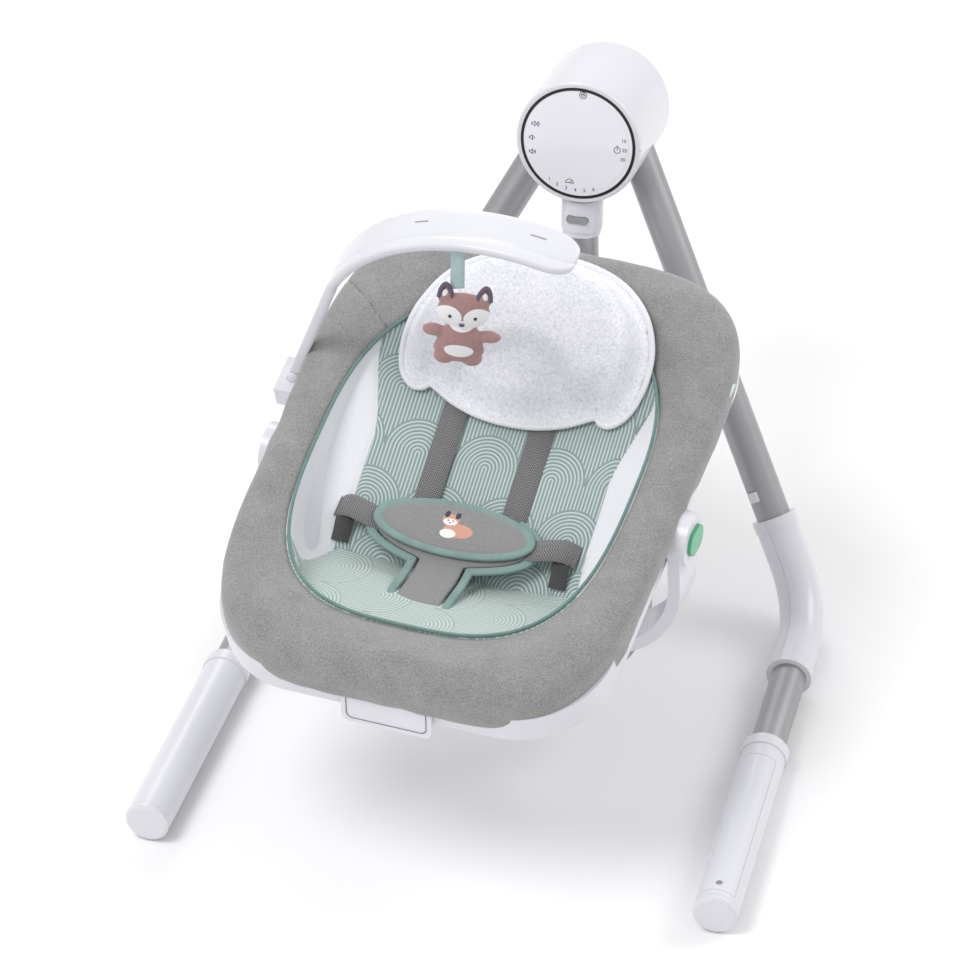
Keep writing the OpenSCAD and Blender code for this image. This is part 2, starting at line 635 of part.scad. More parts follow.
// Places children with X pointing out of the arch at one angle
module bar_at(a) translate([bar_c[0], bar_c[1], 0]) rotate([0, 0, a]) children();
module toy_bar() color("white") {
    bar_frame() difference() {
        union() {
            bar_arc(bar_a0 + bar_tip, bar_a1);
            intersection() {
                bar_arc(bar_a0 - 8, bar_a0 + bar_tip + 1, step);
                bar_at(bar_a0 + bar_tip) rotate([0, 90, 0]) translate([0, 0, bar_r - 40])
                    cylinder(r = bar_w / 2 - 2 * step, h = 60);
            }
            bar_leg();
        }
        bar_at(toy_a) translate([bar_r - 20, -7, bar_w / 2 - 9]) cube([30, 14, 2.4]);
        for (a = [toy_a - 22, toy_a + 12]) bar_at(a) translate([bar_r - 1.2, -8, -8]) cube([4, 16, 1.2]);
    }
    seatf() translate([bar_e[0], bar_v, -62]) cylinder(r = 9, h = 30);
}
// Straight leg of the bar, tapering in width down to the stem
module bar_leg() {
    d = unit([bar_p[0] - bar_e[0], bar_p[1] - bar_e[1]]);
    n = [d[1], -d[0]];
    len = norm(bar_p - bar_e) + lap;
    half = bar_w / 2 - step;
    multmatrix([[d[0], 0, n[0], bar_e[0]], [d[1], 0, n[1], bar_e[1]], [0, 1, 0, 0], [0, 0, 0, 1]])
        translate([0, 0, step - bar_t / 2]) linear_extrude(height = bar_t - 2 * step)
            polygon([[0, -12], [40, -12], [len, -half], [len, half], [40, 12], [0, 12]]);
}
// Angle on the arch where the toy hangs, and the angle taken by the rounded tip
toy_a = 101;
bar_tip = 6;
toy_x = bar_c[0] + (bar_r - bar_t) * cos(toy_a);
toy_l = bar_c[1] + (bar_r - bar_t) * sin(toy_a);
// Ribbon top in the layout frame
toy_y = seat_y + (bar_v - bar_w / 2 + 8) * cos(seat_tilt) - toy_l * sin(seat_tilt);
toy_z = seat_z + (bar_v - bar_w / 2 + 8) * sin(seat_tilt) + toy_l * cos(seat_tilt);
module toyf() TS() translate([toy_x, toy_y, toy_z - 5]) children();
// The ribbon turns on the round eyelet at its top
module toy_ribbon() color("powderblue") toyf() difference() {
    box([-6, -0.7, -41.95], [6, 0.7, 3]);
    cyl_y(1.2, -2, 2);
}
module toy_plush() color("rosybrown") toyf() translate([0, 9, 0]) rotate([90, 0, 0]) linear_extrude(height = 18) {
    translate([0, -66]) circle(r = 24);
    translate([0, -104]) circle(r = 20);
    for (s = [-1, 1]) {
        translate([s * 16, -49]) circle(r = 9);
        translate([s * 23, -95]) circle(r = 8);
        translate([s * 12, -122]) circle(r = 8);
    }
}

hub_rear_housing();
hub_rear_cover();
hub_screws();
hub_front_bezel();
panel_ring();
control_panel();
circuit_board();
pivot_bearings();
speaker();
power_inlet();
drive_coil();
leg_tube_left();
leg_tube_right();
leg_button_left();
leg_button_right();
elbow_left_outer();
elbow_left_inner();
elbow_right_outer();
elbow_right_inner();
floor_tube_left();
floor_tube_right();
foot_sleeve_left();
battery_case_right();
battery_door();
door_screw();
batteries();
battery_contacts();
foot_end_caps();
floor_pads();
pivot_shaft();
drive_magnet();
arm_collar();
arm_release();
swing_arm_upper();
swing_arm_lower();
arm_button();
swivel_base();
turntable();
seat_yoke();
seat_release_left();
seat_release_right();
seat_shell();
recline_pins();
badge_plate();
rim_cushion();
rim_piping();
seat_liner();
headrest();
shoulder_strap_left();
shoulder_strap_right();
waist_strap_left();
waist_strap_right();
lap_pad();
lap_pad_piping();
crotch_strap();
buckle();
toy_bar();
toy_ribbon();
toy_plush();
side_tag();
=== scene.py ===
"""Looks of a baby swing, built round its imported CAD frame.

Lengths in the seat frame are millimetres, the rest metres.
"""

import math

import bmesh
import bpy
import numpy as np
from mathutils import Matrix, Vector


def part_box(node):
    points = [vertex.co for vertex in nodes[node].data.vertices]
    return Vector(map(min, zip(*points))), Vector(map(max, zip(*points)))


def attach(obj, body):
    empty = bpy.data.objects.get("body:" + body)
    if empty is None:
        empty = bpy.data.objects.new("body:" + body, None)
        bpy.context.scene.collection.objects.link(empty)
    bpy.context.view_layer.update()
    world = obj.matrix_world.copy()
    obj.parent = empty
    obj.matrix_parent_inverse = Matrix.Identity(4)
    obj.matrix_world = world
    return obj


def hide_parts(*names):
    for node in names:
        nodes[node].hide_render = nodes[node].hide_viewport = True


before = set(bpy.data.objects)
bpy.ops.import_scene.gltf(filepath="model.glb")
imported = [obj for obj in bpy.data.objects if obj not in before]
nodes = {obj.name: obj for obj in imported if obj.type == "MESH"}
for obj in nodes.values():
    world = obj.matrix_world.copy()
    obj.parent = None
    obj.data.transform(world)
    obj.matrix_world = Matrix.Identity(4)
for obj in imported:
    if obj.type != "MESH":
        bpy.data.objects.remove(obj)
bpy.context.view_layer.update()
scene = bpy.context.scene

# ---------- driving dimensions ----------
MM = 0.001
TILT = math.radians(15)          # resting tilt of the seat, head end up
RIM_FRONT, RIM_LOW = -233, -17   # the CAD rim's front edge and underside
MOUTH_MID, MOUTH_HALF, MOUTH_REACH = 36, 161, 199   # the opening inside the rim
RIM_MID, RIM_HALF, RIM_REACH = 39, 210, 272         # the outside of the rim
CREASE_V, CREASE_W = -50, -66    # where the seat's base meets its back
BACK_SLOPE, RAMP_SLOPE = 0.27, 0.62
EDGE_W = 8                       # height of the liner at the piping
WALL_RUN, WALL_DROP = 45, 90     # how far the liner's side wall reaches in and down
STRAP = 25                       # width of the harness webbing

TURN = math.radians(-5.6)        # resting turn of the seat on its swivel
SEAT_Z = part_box("rim_cushion")[0].z - MM * (RIM_FRONT * math.sin(TILT) + RIM_LOW * math.cos(TILT))
table_lo, table_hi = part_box("turntable")
SPIN = Matrix.Rotation(TURN, 3, "Z")
table_mid = (table_lo + table_hi) / 2
SEAT_O = Vector((table_mid.x, table_mid.y, SEAT_Z)) + SPIN @ Vector((0, MM, 0))


def aim(u, v, w):
    """A direction of the seat frame in the row frame."""
    c, s = math.cos(TILT), math.sin(TILT)
    return SPIN @ Vector((u, v * c - w * s, v * s + w * c))


def seat(u, v, w):
    """A point of the seat frame (mm: right, towards the head, up from the rim plane) in the row frame."""
    return SEAT_O + aim(MM * u, MM * v, MM * w)


SEAT_RIGHT, SEAT_ALONG, SEAT_NORMAL = aim(1, 0, 0), aim(0, 1, 0), aim(0, 0, 1)


def to_seat(points):
    """Seat-frame coordinates in mm of an array of row-frame points."""
    rel = (np.asarray(points) - np.array(SEAT_O)) / MM
    return rel @ np.array([SEAT_RIGHT, SEAT_ALONG, SEAT_NORMAL]).T


def smoothstep(x, a=0.0, b=1.0):
    t = min(1.0, max(0.0, (x - a) / (b - a)))
    return t * t * (3 - 2 * t)


def soft_max(a, b, k):
    h = max(k - abs(a - b), 0) / k
    return max(a, b) + h * h * k / 4


# ---------- material helpers ----------
class Ex:
    """A shader value that ordinary arithmetic turns into Math nodes."""

    def __init__(self, tree, socket):
        self.tree, self.socket = tree, socket

    def op(self, kind, *others):
        n = self.tree.nodes.new("ShaderNodeMath")
        n.operation = kind
        for i, x in enumerate((self, *others)):
            if isinstance(x, Ex):
                self.tree.links.new(x.socket, n.inputs[i])
            else:
                n.inputs[i].default_value = float(x)
        return Ex(self.tree, n.outputs[0])


def math_call(kind):
    """A method that puts one Math node of the given kind after the value."""
    return lambda self, *others: self.op(kind, *others)


EX_METHODS = {"__add__": "ADD", "__sub__": "SUBTRACT", "__mul__": "MULTIPLY", "__truediv__": "DIVIDE",
              "less": "LESS_THAN", "more": "GREATER_THAN", "min": "MINIMUM", "max": "MAXIMUM",
              "floor": "FLOOR", "frac": "FRACT", "abs": "ABSOLUTE", "sqrt": "SQRT", "sin": "SINE"}
for method, kind in EX_METHODS.items():
    setattr(Ex, method, math_call(kind))


def hypot(a, b):
    return (a * a + b * b).sqrt()


class Look:
    """A Principled material with short calls for texture, colour and bump."""

    def __init__(self, name, color, rough, **values):
        self.mat = bpy.data.materials.new(name)
        self.mat.use_nodes = True
        self.tree = self.mat.node_tree
        self.bsdf = self.tree.nodes["Principled BSDF"]
        self.bsdf.inputs["Base Color"].default_value = (*color, 1)
        self.bsdf.inputs["Roughness"].default_value = rough
        for k, v in values.items():
            self.bsdf.inputs[k.replace("_", " ")].default_value = v

    def coords(self, attribute=None):
        if attribute:
            n = self.tree.nodes.new("ShaderNodeAttribute")
            n.attribute_name = attribute
            return n.outputs["Vector"]
        return self.tree.nodes.new("ShaderNodeTexCoord").outputs["Object"]

    def axes(self, attribute=None):
        n = self.tree.nodes.new("ShaderNodeSeparateXYZ")
        self.tree.links.new(self.coords(attribute), n.inputs[0])
        return [Ex(self.tree, o) for o in n.outputs]

    def noise(self, scale, detail=2.0, rough=0.5, attribute=None, stretch=None):
        n = self.tree.nodes.new("ShaderNodeTexNoise")
        n.inputs["Scale"].default_value = scale
        n.inputs["Detail"].default_value = detail
        n.inputs["Roughness"].default_value = rough
        source = self.coords(attribute)
        if stretch:
            m = self.tree.nodes.new("ShaderNodeMapping")
            m.inputs["Scale"].default_value = stretch
            self.tree.links.new(source, m.inputs["Vector"])
            source = m.outputs[0]
        self.tree.links.new(source, n.inputs["Vector"])
        return Ex(self.tree, n.outputs[0])

    def ramp(self, value, stops):
        n = self.tree.nodes.new("ShaderNodeValToRGB")
        e = n.color_ramp.elements
        while len(e) < len(stops):
            e.new(0.5)
        for i, (p, c) in enumerate(stops):
            e[i].position, e[i].color = p, (*c, 1)
        self.tree.links.new(value.socket, n.inputs[0])
        return n.outputs[0]

    def mix(self, share, a, b):
        """a where share is 0, b where it is 1; each is a colour or a socket."""
        n = self.tree.nodes.new("ShaderNodeMix")
        n.data_type = "RGBA"
        self.tree.links.new(share.socket, n.inputs["Factor"])
        for key, x in ((6, a), (7, b)):
            if isinstance(x, tuple):
                n.inputs[key].default_value = (*x, 1)
            else:
                self.tree.links.new(x, n.inputs[key])
        return n.outputs[2]

    def paint(self, socket):
        self.tree.links.new(socket, self.bsdf.inputs["Base Color"])
        return self

    def rough(self, value):
        self.tree.links.new(value.socket, self.bsdf.inputs["Roughness"])
        return self

    def bump(self, height, distance, strength=1.0):
        n = self.tree.nodes.new("ShaderNodeBump")
        n.inputs["Strength"].default_value = strength
        n.inputs["Distance"].default_value = distance
        self.tree.links.new(height.socket, n.inputs["Height"])
        self.tree.links.new(n.outputs[0], self.bsdf.inputs["Normal"])
        return self


def tone(color, factor):
    return tuple(min(1.0, c * factor) for c in color)


# ---------- materials ----------
def plastic(name, color, rough, grain=0.00006, coat=0.0):
    look = Look(name, color, rough, Coat_Weight=coat, Coat_Roughness=0.12, Specular_IOR_Level=0.5)
    fine = look.noise(900, 3)
    cloud = look.noise(9, 2)
    look.paint(look.ramp(cloud, [(0.3, tone(color, 0.97)), (0.7, tone(color, 1.02))]))
    look.rough(cloud * 0.1 + fine * 0.06 + (rough - 0.08))
    return look.bump(fine, grain).mat


def metal_paint(name, color, rough):
    look = Look(name, color, rough, Metallic=0.85)
    flake = look.noise(2200, 2)
    cloud = look.noise(14, 3)
    look.paint(look.ramp(flake * 0.6 + cloud * 0.4, [(0.35, tone(color, 0.9)), (0.65, tone(color, 1.1))]))
    look.rough(cloud * 0.12 + flake * 0.1 + (rough - 0.1))
    return look.bump(flake, 0.00004).mat


def brushed(name, color, rough):
    look = Look(name, color, rough, Metallic=1.0)
    hair = look.noise(300, 4, stretch=(1, 18, 1))
    look.paint(look.ramp(hair, [(0.3, tone(color, 0.85)), (0.7, tone(color, 1.1))]))
    look.rough(hair * 0.25 + (rough - 0.12))
    return look.bump(hair, 0.00003).mat


def melange(name, dark, light, scale=620, sheen=0.35, bump=0.00035, seam=None):
    """Heathered knit: fine flecks over broad clouds, with a small knit relief and a fuzzy sheen."""
    look = Look(name, dark, 0.95, Sheen_Weight=sheen, Sheen_Roughness=0.5, Specular_IOR_Level=0.15)
    fleck = look.noise(scale, 3, 0.7)
    thread = look.noise(scale * 1.7, 2, 0.6, stretch=(1, 1, 0.35))
    cloud = look.noise(35, 2)
    value = fleck * 0.5 + thread * 0.35 + cloud * 0.15
    middle = tuple((a + b) / 2 for a, b in zip(dark, light))
    base = look.ramp(value, [(0.36, dark), (0.5, middle), (0.64, light)])
    if seam:
        x, y, z = look.axes("marks")
        base = look.mix(x.more(0.5) * 0.45, base, tone(dark, 0.55))
    look.paint(base)
    return look.bump(fleck * 0.6 + thread * 0.4, bump).mat


def twill(name, dark, light, attribute="cloth", pitch=2.6):
    """Herringbone webbing: diagonal ribs that turn back at each stripe. The attribute is in mm."""
    look = Look(name, dark, 0.9, Sheen_Weight=0.25, Sheen_Roughness=0.5, Specular_IOR_Level=0.2)
    x, y, z = look.axes(attribute)
    stripe = ((x / 6.4).frac() - 0.5).abs() * 6.4
    rib = ((y + stripe * 1.1) / pitch * 2 * math.pi).sin() * 0.5 + 0.5
    fine = look.noise(1500, 2)
    look.paint(look.ramp(rib * 0.75 + fine * 0.25, [(0.3, dark), (0.62, light)]))
    return look.bump(rib * 0.8 + fine * 0.2, 0.0004).mat


def binding(name, color):
    """Woven binding tape with fine cross ribs."""
    look = Look(name, color, 0.85, Sheen_Weight=0.3, Sheen_Roughness=0.4, Specular_IOR_Level=0.25)
    fine = look.noise(1300, 2, stretch=(1, 1, 1))
    cloud = look.noise(60, 2)
    look.paint(look.ramp(fine * 0.6 + cloud * 0.4, [(0.32, tone(color, 0.82)), (0.68, tone(color, 1.18))]))
    return look.bump(fine, 0.0003).mat


def arches(look, x, y, pitch=72.0, row=60.0, lines=3.8):
    """1 on the pale lines of staggered rainbow arches, 0 between them. x and y are mm along the cloth."""
    half = pitch / 2
    reach = half - 0.6
    def column(k):
        shift = (k * 0.5).frac() * pitch
        return (((x - shift) / pitch).frac() - 0.5).abs() * pitch
    below = (y / row).floor()
    dx_below = column(below)
    rise = (dx_below * dx_below * -1 + reach * reach).max(0).sqrt()
    local = y - below * row
    in_below = local.less(rise)
    r_below = hypot(dx_below, local)
    r_above = column(below + 1)
    radius = r_below * in_below + r_above * (in_below * -1 + 1)
    wave = ((radius / lines).frac() - 0.5).abs()
    return wave.less(0.2)


def liner_fabric():
    """Sage print with pale arches, plain white side panels, and darker sewn edges between them."""
    sage, pale, white = (0.25, 0.335, 0.325), (0.57, 0.65, 0.645), (0.80, 0.81, 0.85)
    look = Look("liner_fabric", sage, 0.9, Sheen_Weight=0.2, Sheen_Roughness=0.5, Specular_IOR_Level=0.15)
    x, y, z = look.axes("cloth")
    side, ramp, seam = look.axes("panel")
    on_ramp = ramp.more(0)
    back = arches(look, x, y)
    base = arches(look, y, x + 10)
    line = back * (on_ramp * -1 + 1) + base * on_ramp
    weave = look.noise(1500, 2)
    tint = look.mix(line, sage, pale)
    # The seat's base panel is mixed 35% towards a paler green as a painted highlight, a lit copy of the print.
    painted_lit_base = look.mix(on_ramp * 0.35, tint, (0.60, 0.68, 0.62))
    cloth = look.mix(side.more(0), painted_lit_base, white)
    stitched = look.mix(seam.less(0.9) * 0.35, cloth, (0.22, 0.3, 0.29))
    worn = look.mix(weave * 0.12, stitched, (0.35, 0.4, 0.4))
    look.paint(worn)
    look.bump(weave * 0.7 + line * 0.3, 0.00025)
    return look.mat


def fleece():
    look = Look("pillow_fleece", (0.8, 0.81, 0.86), 1.0, Sheen_Weight=0.6, Sheen_Roughness=0.6,
                Specular_IOR_Level=0.05)
    curl = look.noise(330, 4, 0.65)
    fibre = look.noise(900, 3, 0.7, stretch=(1, 0.4, 1))
    cloud = look.noise(28, 3)
    value = curl * 0.55 + fibre * 0.33 + cloud * 0.12
    stops = [(0.36, (0.58, 0.595, 0.68)), (0.47, (0.76, 0.77, 0.83)), (0.6, (0.90, 0.90, 0.93))]
    look.paint(look.ramp(value, stops))
    return look.bump(curl * 0.6 + fibre * 0.4, 0.0009).mat


def ellipse(x, y, cx, cy, rx, ry):
    """Under 1 inside the ellipse."""
    return hypot((x - cx) / rx, (y - cy) / ry)


def plush_cloth():
    """Rose velour with a pale mask and belly; the attribute is mm right and up from the head's centre."""
    rose, pale = (0.36, 0.215, 0.205), (0.84, 0.84, 0.85)
    look = Look("plush_cloth", rose, 1.0, Sheen_Weight=0.45, Sheen_Roughness=0.5, Specular_IOR_Level=0.1)
    x, y, z = look.axes("toy")
    nap = look.noise(1100, 3, 0.7)
    coat = look.ramp(nap, [(0.35, tone(rose, 0.8)), (0.65, tone(rose, 1.25))])
    cheeks = ellipse(x.abs(), y, 14.5, -4, 13.5, 13).less(1)
    muzzle = ellipse(x, y, 0, -15, 13, 8).less(1)
    belly = ellipse(x, y, 0, -47, 15, 8).less(1)
    front = z.more(0)
    white = cheeks.max(muzzle).max(belly) * front
    look.paint(look.mix(white, coat, look.ramp(nap, [(0.3, tone(pale, 0.92)), (0.7, pale)])))
    return look.bump(nap, 0.0004).mat


def pad_cloth():
    """Grey knit with a small printed animal; the attribute is mm right and up from the pad's centre."""
    grey = (0.25, 0.25, 0.25)
    look = Look("pad_cloth", grey, 0.95, Sheen_Weight=0.3, Sheen_Roughness=0.5, Specular_IOR_Level=0.15)
    x, y, z = look.axes("cloth")
    fine = look.noise(900, 3, 0.6)
    cloth = look.ramp(fine, [(0.35, tone(grey, 0.85)), (0.65, tone(grey, 1.15))])
    coral, cream, ink = (0.62, 0.33, 0.25), (0.85, 0.84, 0.82), (0.05, 0.06, 0.09)
    marks = [
        (ellipse(x, y, 6, -4, 15, 8), coral), (ellipse(x, y, -3, -9, 8, 5), cream),
        (ellipse(x, y, -5, 7, 8.5, 7), coral), (ellipse(x, y, -5, 4.5, 7, 4), cream),
        (ellipse(x, y, -10.5, 13, 2.6, 4), ink), (ellipse(x, y, 0.5, 13, 2.6, 4), ink),
        (ellipse(x, y, -7.6, 6, 0.9, 0.9), ink), (ellipse(x, y, -2.4, 6, 0.9, 0.9), ink),
        (ellipse(x, y, -5, 3.4, 1.1, 0.8), ink),
    ]
    for inside, color in marks:
        cloth = look.mix(inside.less(1) * z.more(0.5), cloth, color)
    look.paint(cloth)
    return look.bump(fine, 0.0003).mat


WHITE = plastic("white_plastic", (0.71, 0.71, 0.76), 0.34, coat=0.25)
GLOSS = plastic("panel_white", (0.84, 0.84, 0.89), 0.16, grain=0.00001, coat=0.8)
BLACK = plastic("black_plastic", (0.012, 0.012, 0.014), 0.35)
# Real grey plastic on the arm release; on the toy bar's slot strips it is painted shade.
GREY_AND_SLOT_SHADE = plastic("grey_plastic", (0.30, 0.31, 0.325), 0.45)
GREEN = plastic("green_plastic", (0.07, 0.42, 0.21), 0.35, coat=0.3)
BOARD = plastic("board_green", (0.03, 0.2, 0.07), 0.4)
INK = plastic("printed_ink", (0.03, 0.03, 0.035), 0.5)
OUTLINE = plastic("badge_ink", (0.09, 0.09, 0.1), 0.5)
EAR = plastic("ear_felt", (0.13, 0.10, 0.15), 0.95, grain=0.0003)
TUBE = metal_paint("tube_metal", (0.40, 0.40, 0.415), 0.42)
STEEL = brushed("steel", (0.55, 0.55, 0.57), 0.35)
COPPER = brushed("copper", (0.6, 0.33, 0.16), 0.4)
MAGNET = plastic("magnet", (0.05, 0.05, 0.055), 0.5)
CELL = plastic("battery_skin", (0.1, 0.22, 0.18), 0.4)
RUBBER = plastic("pad_rubber", (0.09, 0.09, 0.095), 0.8, grain=0.0002)
RIM = melange("rim_fabric", (0.175, 0.175, 0.175), (0.37, 0.37, 0.37), seam=True)
PIPING = binding("piping_fabric", (0.15, 0.26, 0.235))
EDGING = binding("edging_fabric", (0.21, 0.31, 0.29))
LINER = liner_fabric()
FLEECE = fleece()
FLANGE = melange("pillow_edge", (0.70, 0.71, 0.76), (0.88, 0.88, 0.91), scale=500, sheen=0.4)
WEB = twill("webbing", (0.065, 0.065, 0.065), (0.29, 0.29, 0.29))
# A darker copy of the webbing: painted shade for the strap ends that fold down under the pad.
SHADED_WEB = twill("webbing_painted_shade", (0.03, 0.03, 0.03), (0.11, 0.11, 0.108))
PAD = pad_cloth()
RIBBON = binding("ribbon", (0.40, 0.53, 0.53))
PLUSH = plush_cloth()
TAG = melange("tag_white", (0.62, 0.75, 0.7), (0.85, 0.9, 0.88), scale=900)

CAD_LOOKS = {
    WHITE: ["hub_rear_housing", "hub_rear_cover", "hub_front_bezel", "leg_button_left", "leg_button_right",
            "elbow_left_outer", "elbow_left_inner", "elbow_right_outer", "elbow_right_inner", "foot_sleeve_left",
            "battery_case_right", "battery_door", "foot_end_caps", "arm_collar", "arm_button", "swivel_base",
            "turntable", "seat_yoke", "seat_shell", "badge_plate"],
    GLOSS: ["control_panel"], BLACK: ["panel_ring", "speaker", "power_inlet"], GREY_AND_SLOT_SHADE: ["arm_release"],
    GREEN: ["seat_release_left", "seat_release_right"], BOARD: ["circuit_board"], COPPER: ["drive_coil"],
    TUBE: ["leg_tube_left", "leg_tube_right", "floor_tube_left", "floor_tube_right", "swing_arm_upper",
           "swing_arm_lower"],
    STEEL: ["hub_screws", "pivot_bearings", "door_screw", "battery_contacts", "pivot_shaft", "recline_pins"],
    MAGNET: ["drive_magnet"], CELL: ["batteries"], RUBBER: ["floor_pads"],
}


def dress_cad():
    for look, names in CAD_LOOKS.items():
        for name in names:
            mesh = nodes[name].data
            mesh.materials.clear()
            mesh.materials.append(look)


# ---------- mesh helpers ----------
def new_object(name, points, faces, look, smooth=True):
    mesh = bpy.data.meshes.new(name)
    mesh.from_pydata([tuple(p) for p in points], [], faces)
    mesh.materials.append(look)
    obj = bpy.data.objects.new(name, mesh)
    scene.collection.objects.link(obj)
    if smooth:
        mesh.shade_smooth()
    return obj


def from_bmesh(name, bm, look):
    mesh = bpy.data.meshes.new(name)
    bm.to_mesh(mesh)
    bm.free()
    mesh.materials.append(look)
    obj = bpy.data.objects.new(name, mesh)
    scene.collection.objects.link(obj)
    return obj


def grid_faces(rows, cols, close_rows=False, close_cols=False):
    out = []
    for i in range(rows if close_rows else rows - 1):
        for j in range(cols if close_cols else cols - 1):
            a, b = (i + 1) % rows, (j + 1) % cols
            out.append((i * cols + j, a * cols + j, a * cols + b, i * cols + b))
    return out


def face_outward(obj):
    bm = bmesh.new()
    bm.from_mesh(obj.data)
    bmesh.ops.recalc_face_normals(bm, faces=bm.faces)
    bm.to_mesh(obj.data)
    bm.free()


def end_caps(count, sides):
    """The two end faces of a tube of count rings."""
    return [tuple(range(sides))[::-1], tuple(range((count - 1) * sides, count * sides))]


def fix_normals(obj):
    bm = bmesh.new()
    bm.from_mesh(obj.data)
    bmesh.ops.remove_doubles(bm, verts=bm.verts, dist=1e-6)
    bmesh.ops.recalc_face_normals(bm, faces=bm.faces)
    bm.to_mesh(obj.data)
    bm.free()
    obj.data.shade_smooth()
    return obj


def closed_discs(rings, turns):
    """Faces of two facing discs of rings, each with its centre point last, joined at the edge."""
    n, faces = rings * turns, []
    last = (rings - 1) * turns
    for base, flip in ((0, False), (n + 1, True)):
        part = grid_faces(rings, turns, close_cols=True)
        part += [(last + j, n, last + (j + 1) % turns) for j in range(turns)]
        faces += [tuple(base + x for x in (f[::-1] if flip else f)) for f in part]
    return faces + [(j, (j + 1) % turns, n + 1 + (j + 1) % turns, n + 1 + j) for j in range(turns)]


def set_vectors(obj, name, rows):
    a = obj.data.attributes.new(name, "FLOAT_VECTOR", "POINT")
    a.data.foreach_set("vector", np.asarray(rows, np.float32).ravel())


def points_of(mesh):
    co = np.zeros(len(mesh.vertices) * 3)
    mesh.vertices.foreach_get("co", co)
    return co.reshape(-1, 3)


def apply_modifiers(obj):
    dg = bpy.context.evaluated_depsgraph_get()
    mesh = bpy.data.meshes.new_from_object(obj.evaluated_get(dg))
    obj.modifiers.clear()
    obj.data = mesh
    mesh.shade_smooth()
    return obj


def finish_piece(obj, body, slot_name, *stood_for, levels=0):
    if levels:
        m = obj.modifiers.new("round", "SUBSURF")
        m.levels = m.render_levels = levels
        apply_modifiers(obj)
    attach(obj, body)
    if stood_for:
        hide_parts(*stood_for)
    return obj


SEWN, LOOSE = 0.008, 0.032       # distances from a seam where the fabric is held, and where it is free


def puff(obj, voxel, cap, seam=(), pressure=4.0, frames=20, relax=2):
    """Inflates a closed mesh with the cloth solver, as stuffing does, and holds it along its seam."""
    look = obj.data.materials[0]
    m = obj.modifiers.new("voxels", "REMESH")
    m.mode, m.voxel_size = "VOXEL", voxel
    apply_modifiers(obj)
    rest = points_of(obj.data)
    cloth = obj.modifiers.new("cloth", "CLOTH")
    cloth.settings.use_pressure = True
    cloth.settings.uniform_pressure_force = pressure
    cloth.settings.effector_weights.gravity = 0
    cloth.point_cache.frame_start, cloth.point_cache.frame_end = 1, frames
    for f in range(1, frames + 1):
        scene.frame_set(f)
    dg = bpy.context.evaluated_depsgraph_get()
    moved = points_of(obj.evaluated_get(dg).data) - rest
    length = np.linalg.norm(moved, axis=1, keepdims=True)
    moved *= np.minimum(1, cap / np.maximum(length, 1e-9))
    if len(seam):
        away = np.min(np.linalg.norm(rest[:, None] - np.array(seam)[None], axis=2), axis=1)
        moved *= np.clip((away - SEWN) / (LOOSE - SEWN), 0, 1)[:, None]
    obj.modifiers.clear()
    obj.data.vertices.foreach_set("co", (rest + moved).ravel())
    scene.frame_set(1)
    s = obj.modifiers.new("relax", "SMOOTH")
    s.factor, s.iterations = 0.5, relax
    d = obj.modifiers.new("round", "SUBSURF")
    d.levels = d.render_levels = 1
    apply_modifiers(obj)
    if not obj.data.materials:
        obj.data.materials.append(look)
    return obj


def tube(name, path, radius, look, sides=10, closed=True):
    """A round cord of fabric along a list of points."""
    n = len(path)
    ring = []
    for i, p in enumerate(path):
        a = path[(i + 1) % n] if closed or i + 1 < n else p
        b = path[i - 1] if closed or i else p
        t = (a - b).normalized()
        side = t.cross(SEAT_NORMAL)
        side = side.normalized() if side.length > 1e-6 else Vector((1, 0, 0))
        up = side.cross(t)
        ring += [p + (side * math.cos(k * math.tau / sides) + up * math.sin(k * math.tau / sides)) * radius
                 for k in range(sides)]
    faces = grid_faces(n, sides, close_rows=closed, close_cols=True)
    if not closed:
        faces += end_caps(n, sides)
    return fix_normals(new_object(name, ring, faces, look))


def ribbon(name, centre, across, normal, width, thick, look, crown=0.105):
    """A flat strap from its centre points, the direction across it and the face normals. Sizes in mm."""
    section = [(-0.5, -0.5), (0.5, -0.5), (0.52, 0), (0.5, 0.5), (0, 0.5 + crown), (-0.5, 0.5), (-0.52, 0)]
    pts, cloth, run = [], [], 0.0
    for i, p in enumerate(centre):
        if i:
            run += (p - centre[i - 1]).length / MM
        for x, y in section:
            side = across[i] if isinstance(across, list) else across
            pts.append(p + side * (x * width * MM) + normal[i] * (y * thick * MM))
            cloth.append((x * width, run, 1.0 if y > 0 else 0.0))
    k = len(section)
    faces = grid_faces(len(centre), k, close_cols=True)
    faces += end_caps(len(centre), k)
    obj = new_object(name, pts, faces, look)
    set_vectors(obj, "cloth", cloth)
    face_outward(obj)
    return obj


def catmull(points, steps, closed=True):
    """A smooth curve through a few points."""
    n, out = len(points), []
    for i in range(n if closed else n - 1):
        p = [np.array(points[(i + k) % n] if closed else points[min(max(i + k, 0), n - 1)], float)
             for k in (-1, 0, 1, 2)]
        for s in range(steps):
            t = s / steps
            out.append(0.5 * (2 * p[1] + (p[2] - p[0]) * t + (2 * p[0] - 5 * p[1] + 4 * p[2] - p[3]) * t * t
                              + (3 * p[1] - p[0] - 3 * p[2] + p[3]) * t ** 3))
    return out


# ---------- seat surfaces ----------
def oval(angle, mid, half, reach, power):
    c, s = math.cos(angle), math.sin(angle)
    x, y = math.copysign(abs(c) ** (2 / power), c), math.copysign(abs(s) ** (2 / power), s)
    return x * half, mid + y * reach


def mouth(angle, inset=0.0):
    power = 2.83 - 0.17 * math.tanh(3 * math.sin(angle))
    return oval(angle, MOUTH_MID, MOUTH_HALF - inset, MOUTH_REACH - inset, power)


def rim_outline(angle):
    u, v = oval(angle, RIM_MID, RIM_HALF, RIM_REACH, 4.4)
    return u * (1 + 0.028 * (v - RIM_MID) / RIM_REACH), v


def back_w(v):
    return CREASE_W + BACK_SLOPE * (v - CREASE_V)


def ramp_w(v):
    return CREASE_W - RAMP_SLOPE * (v - CREASE_V)


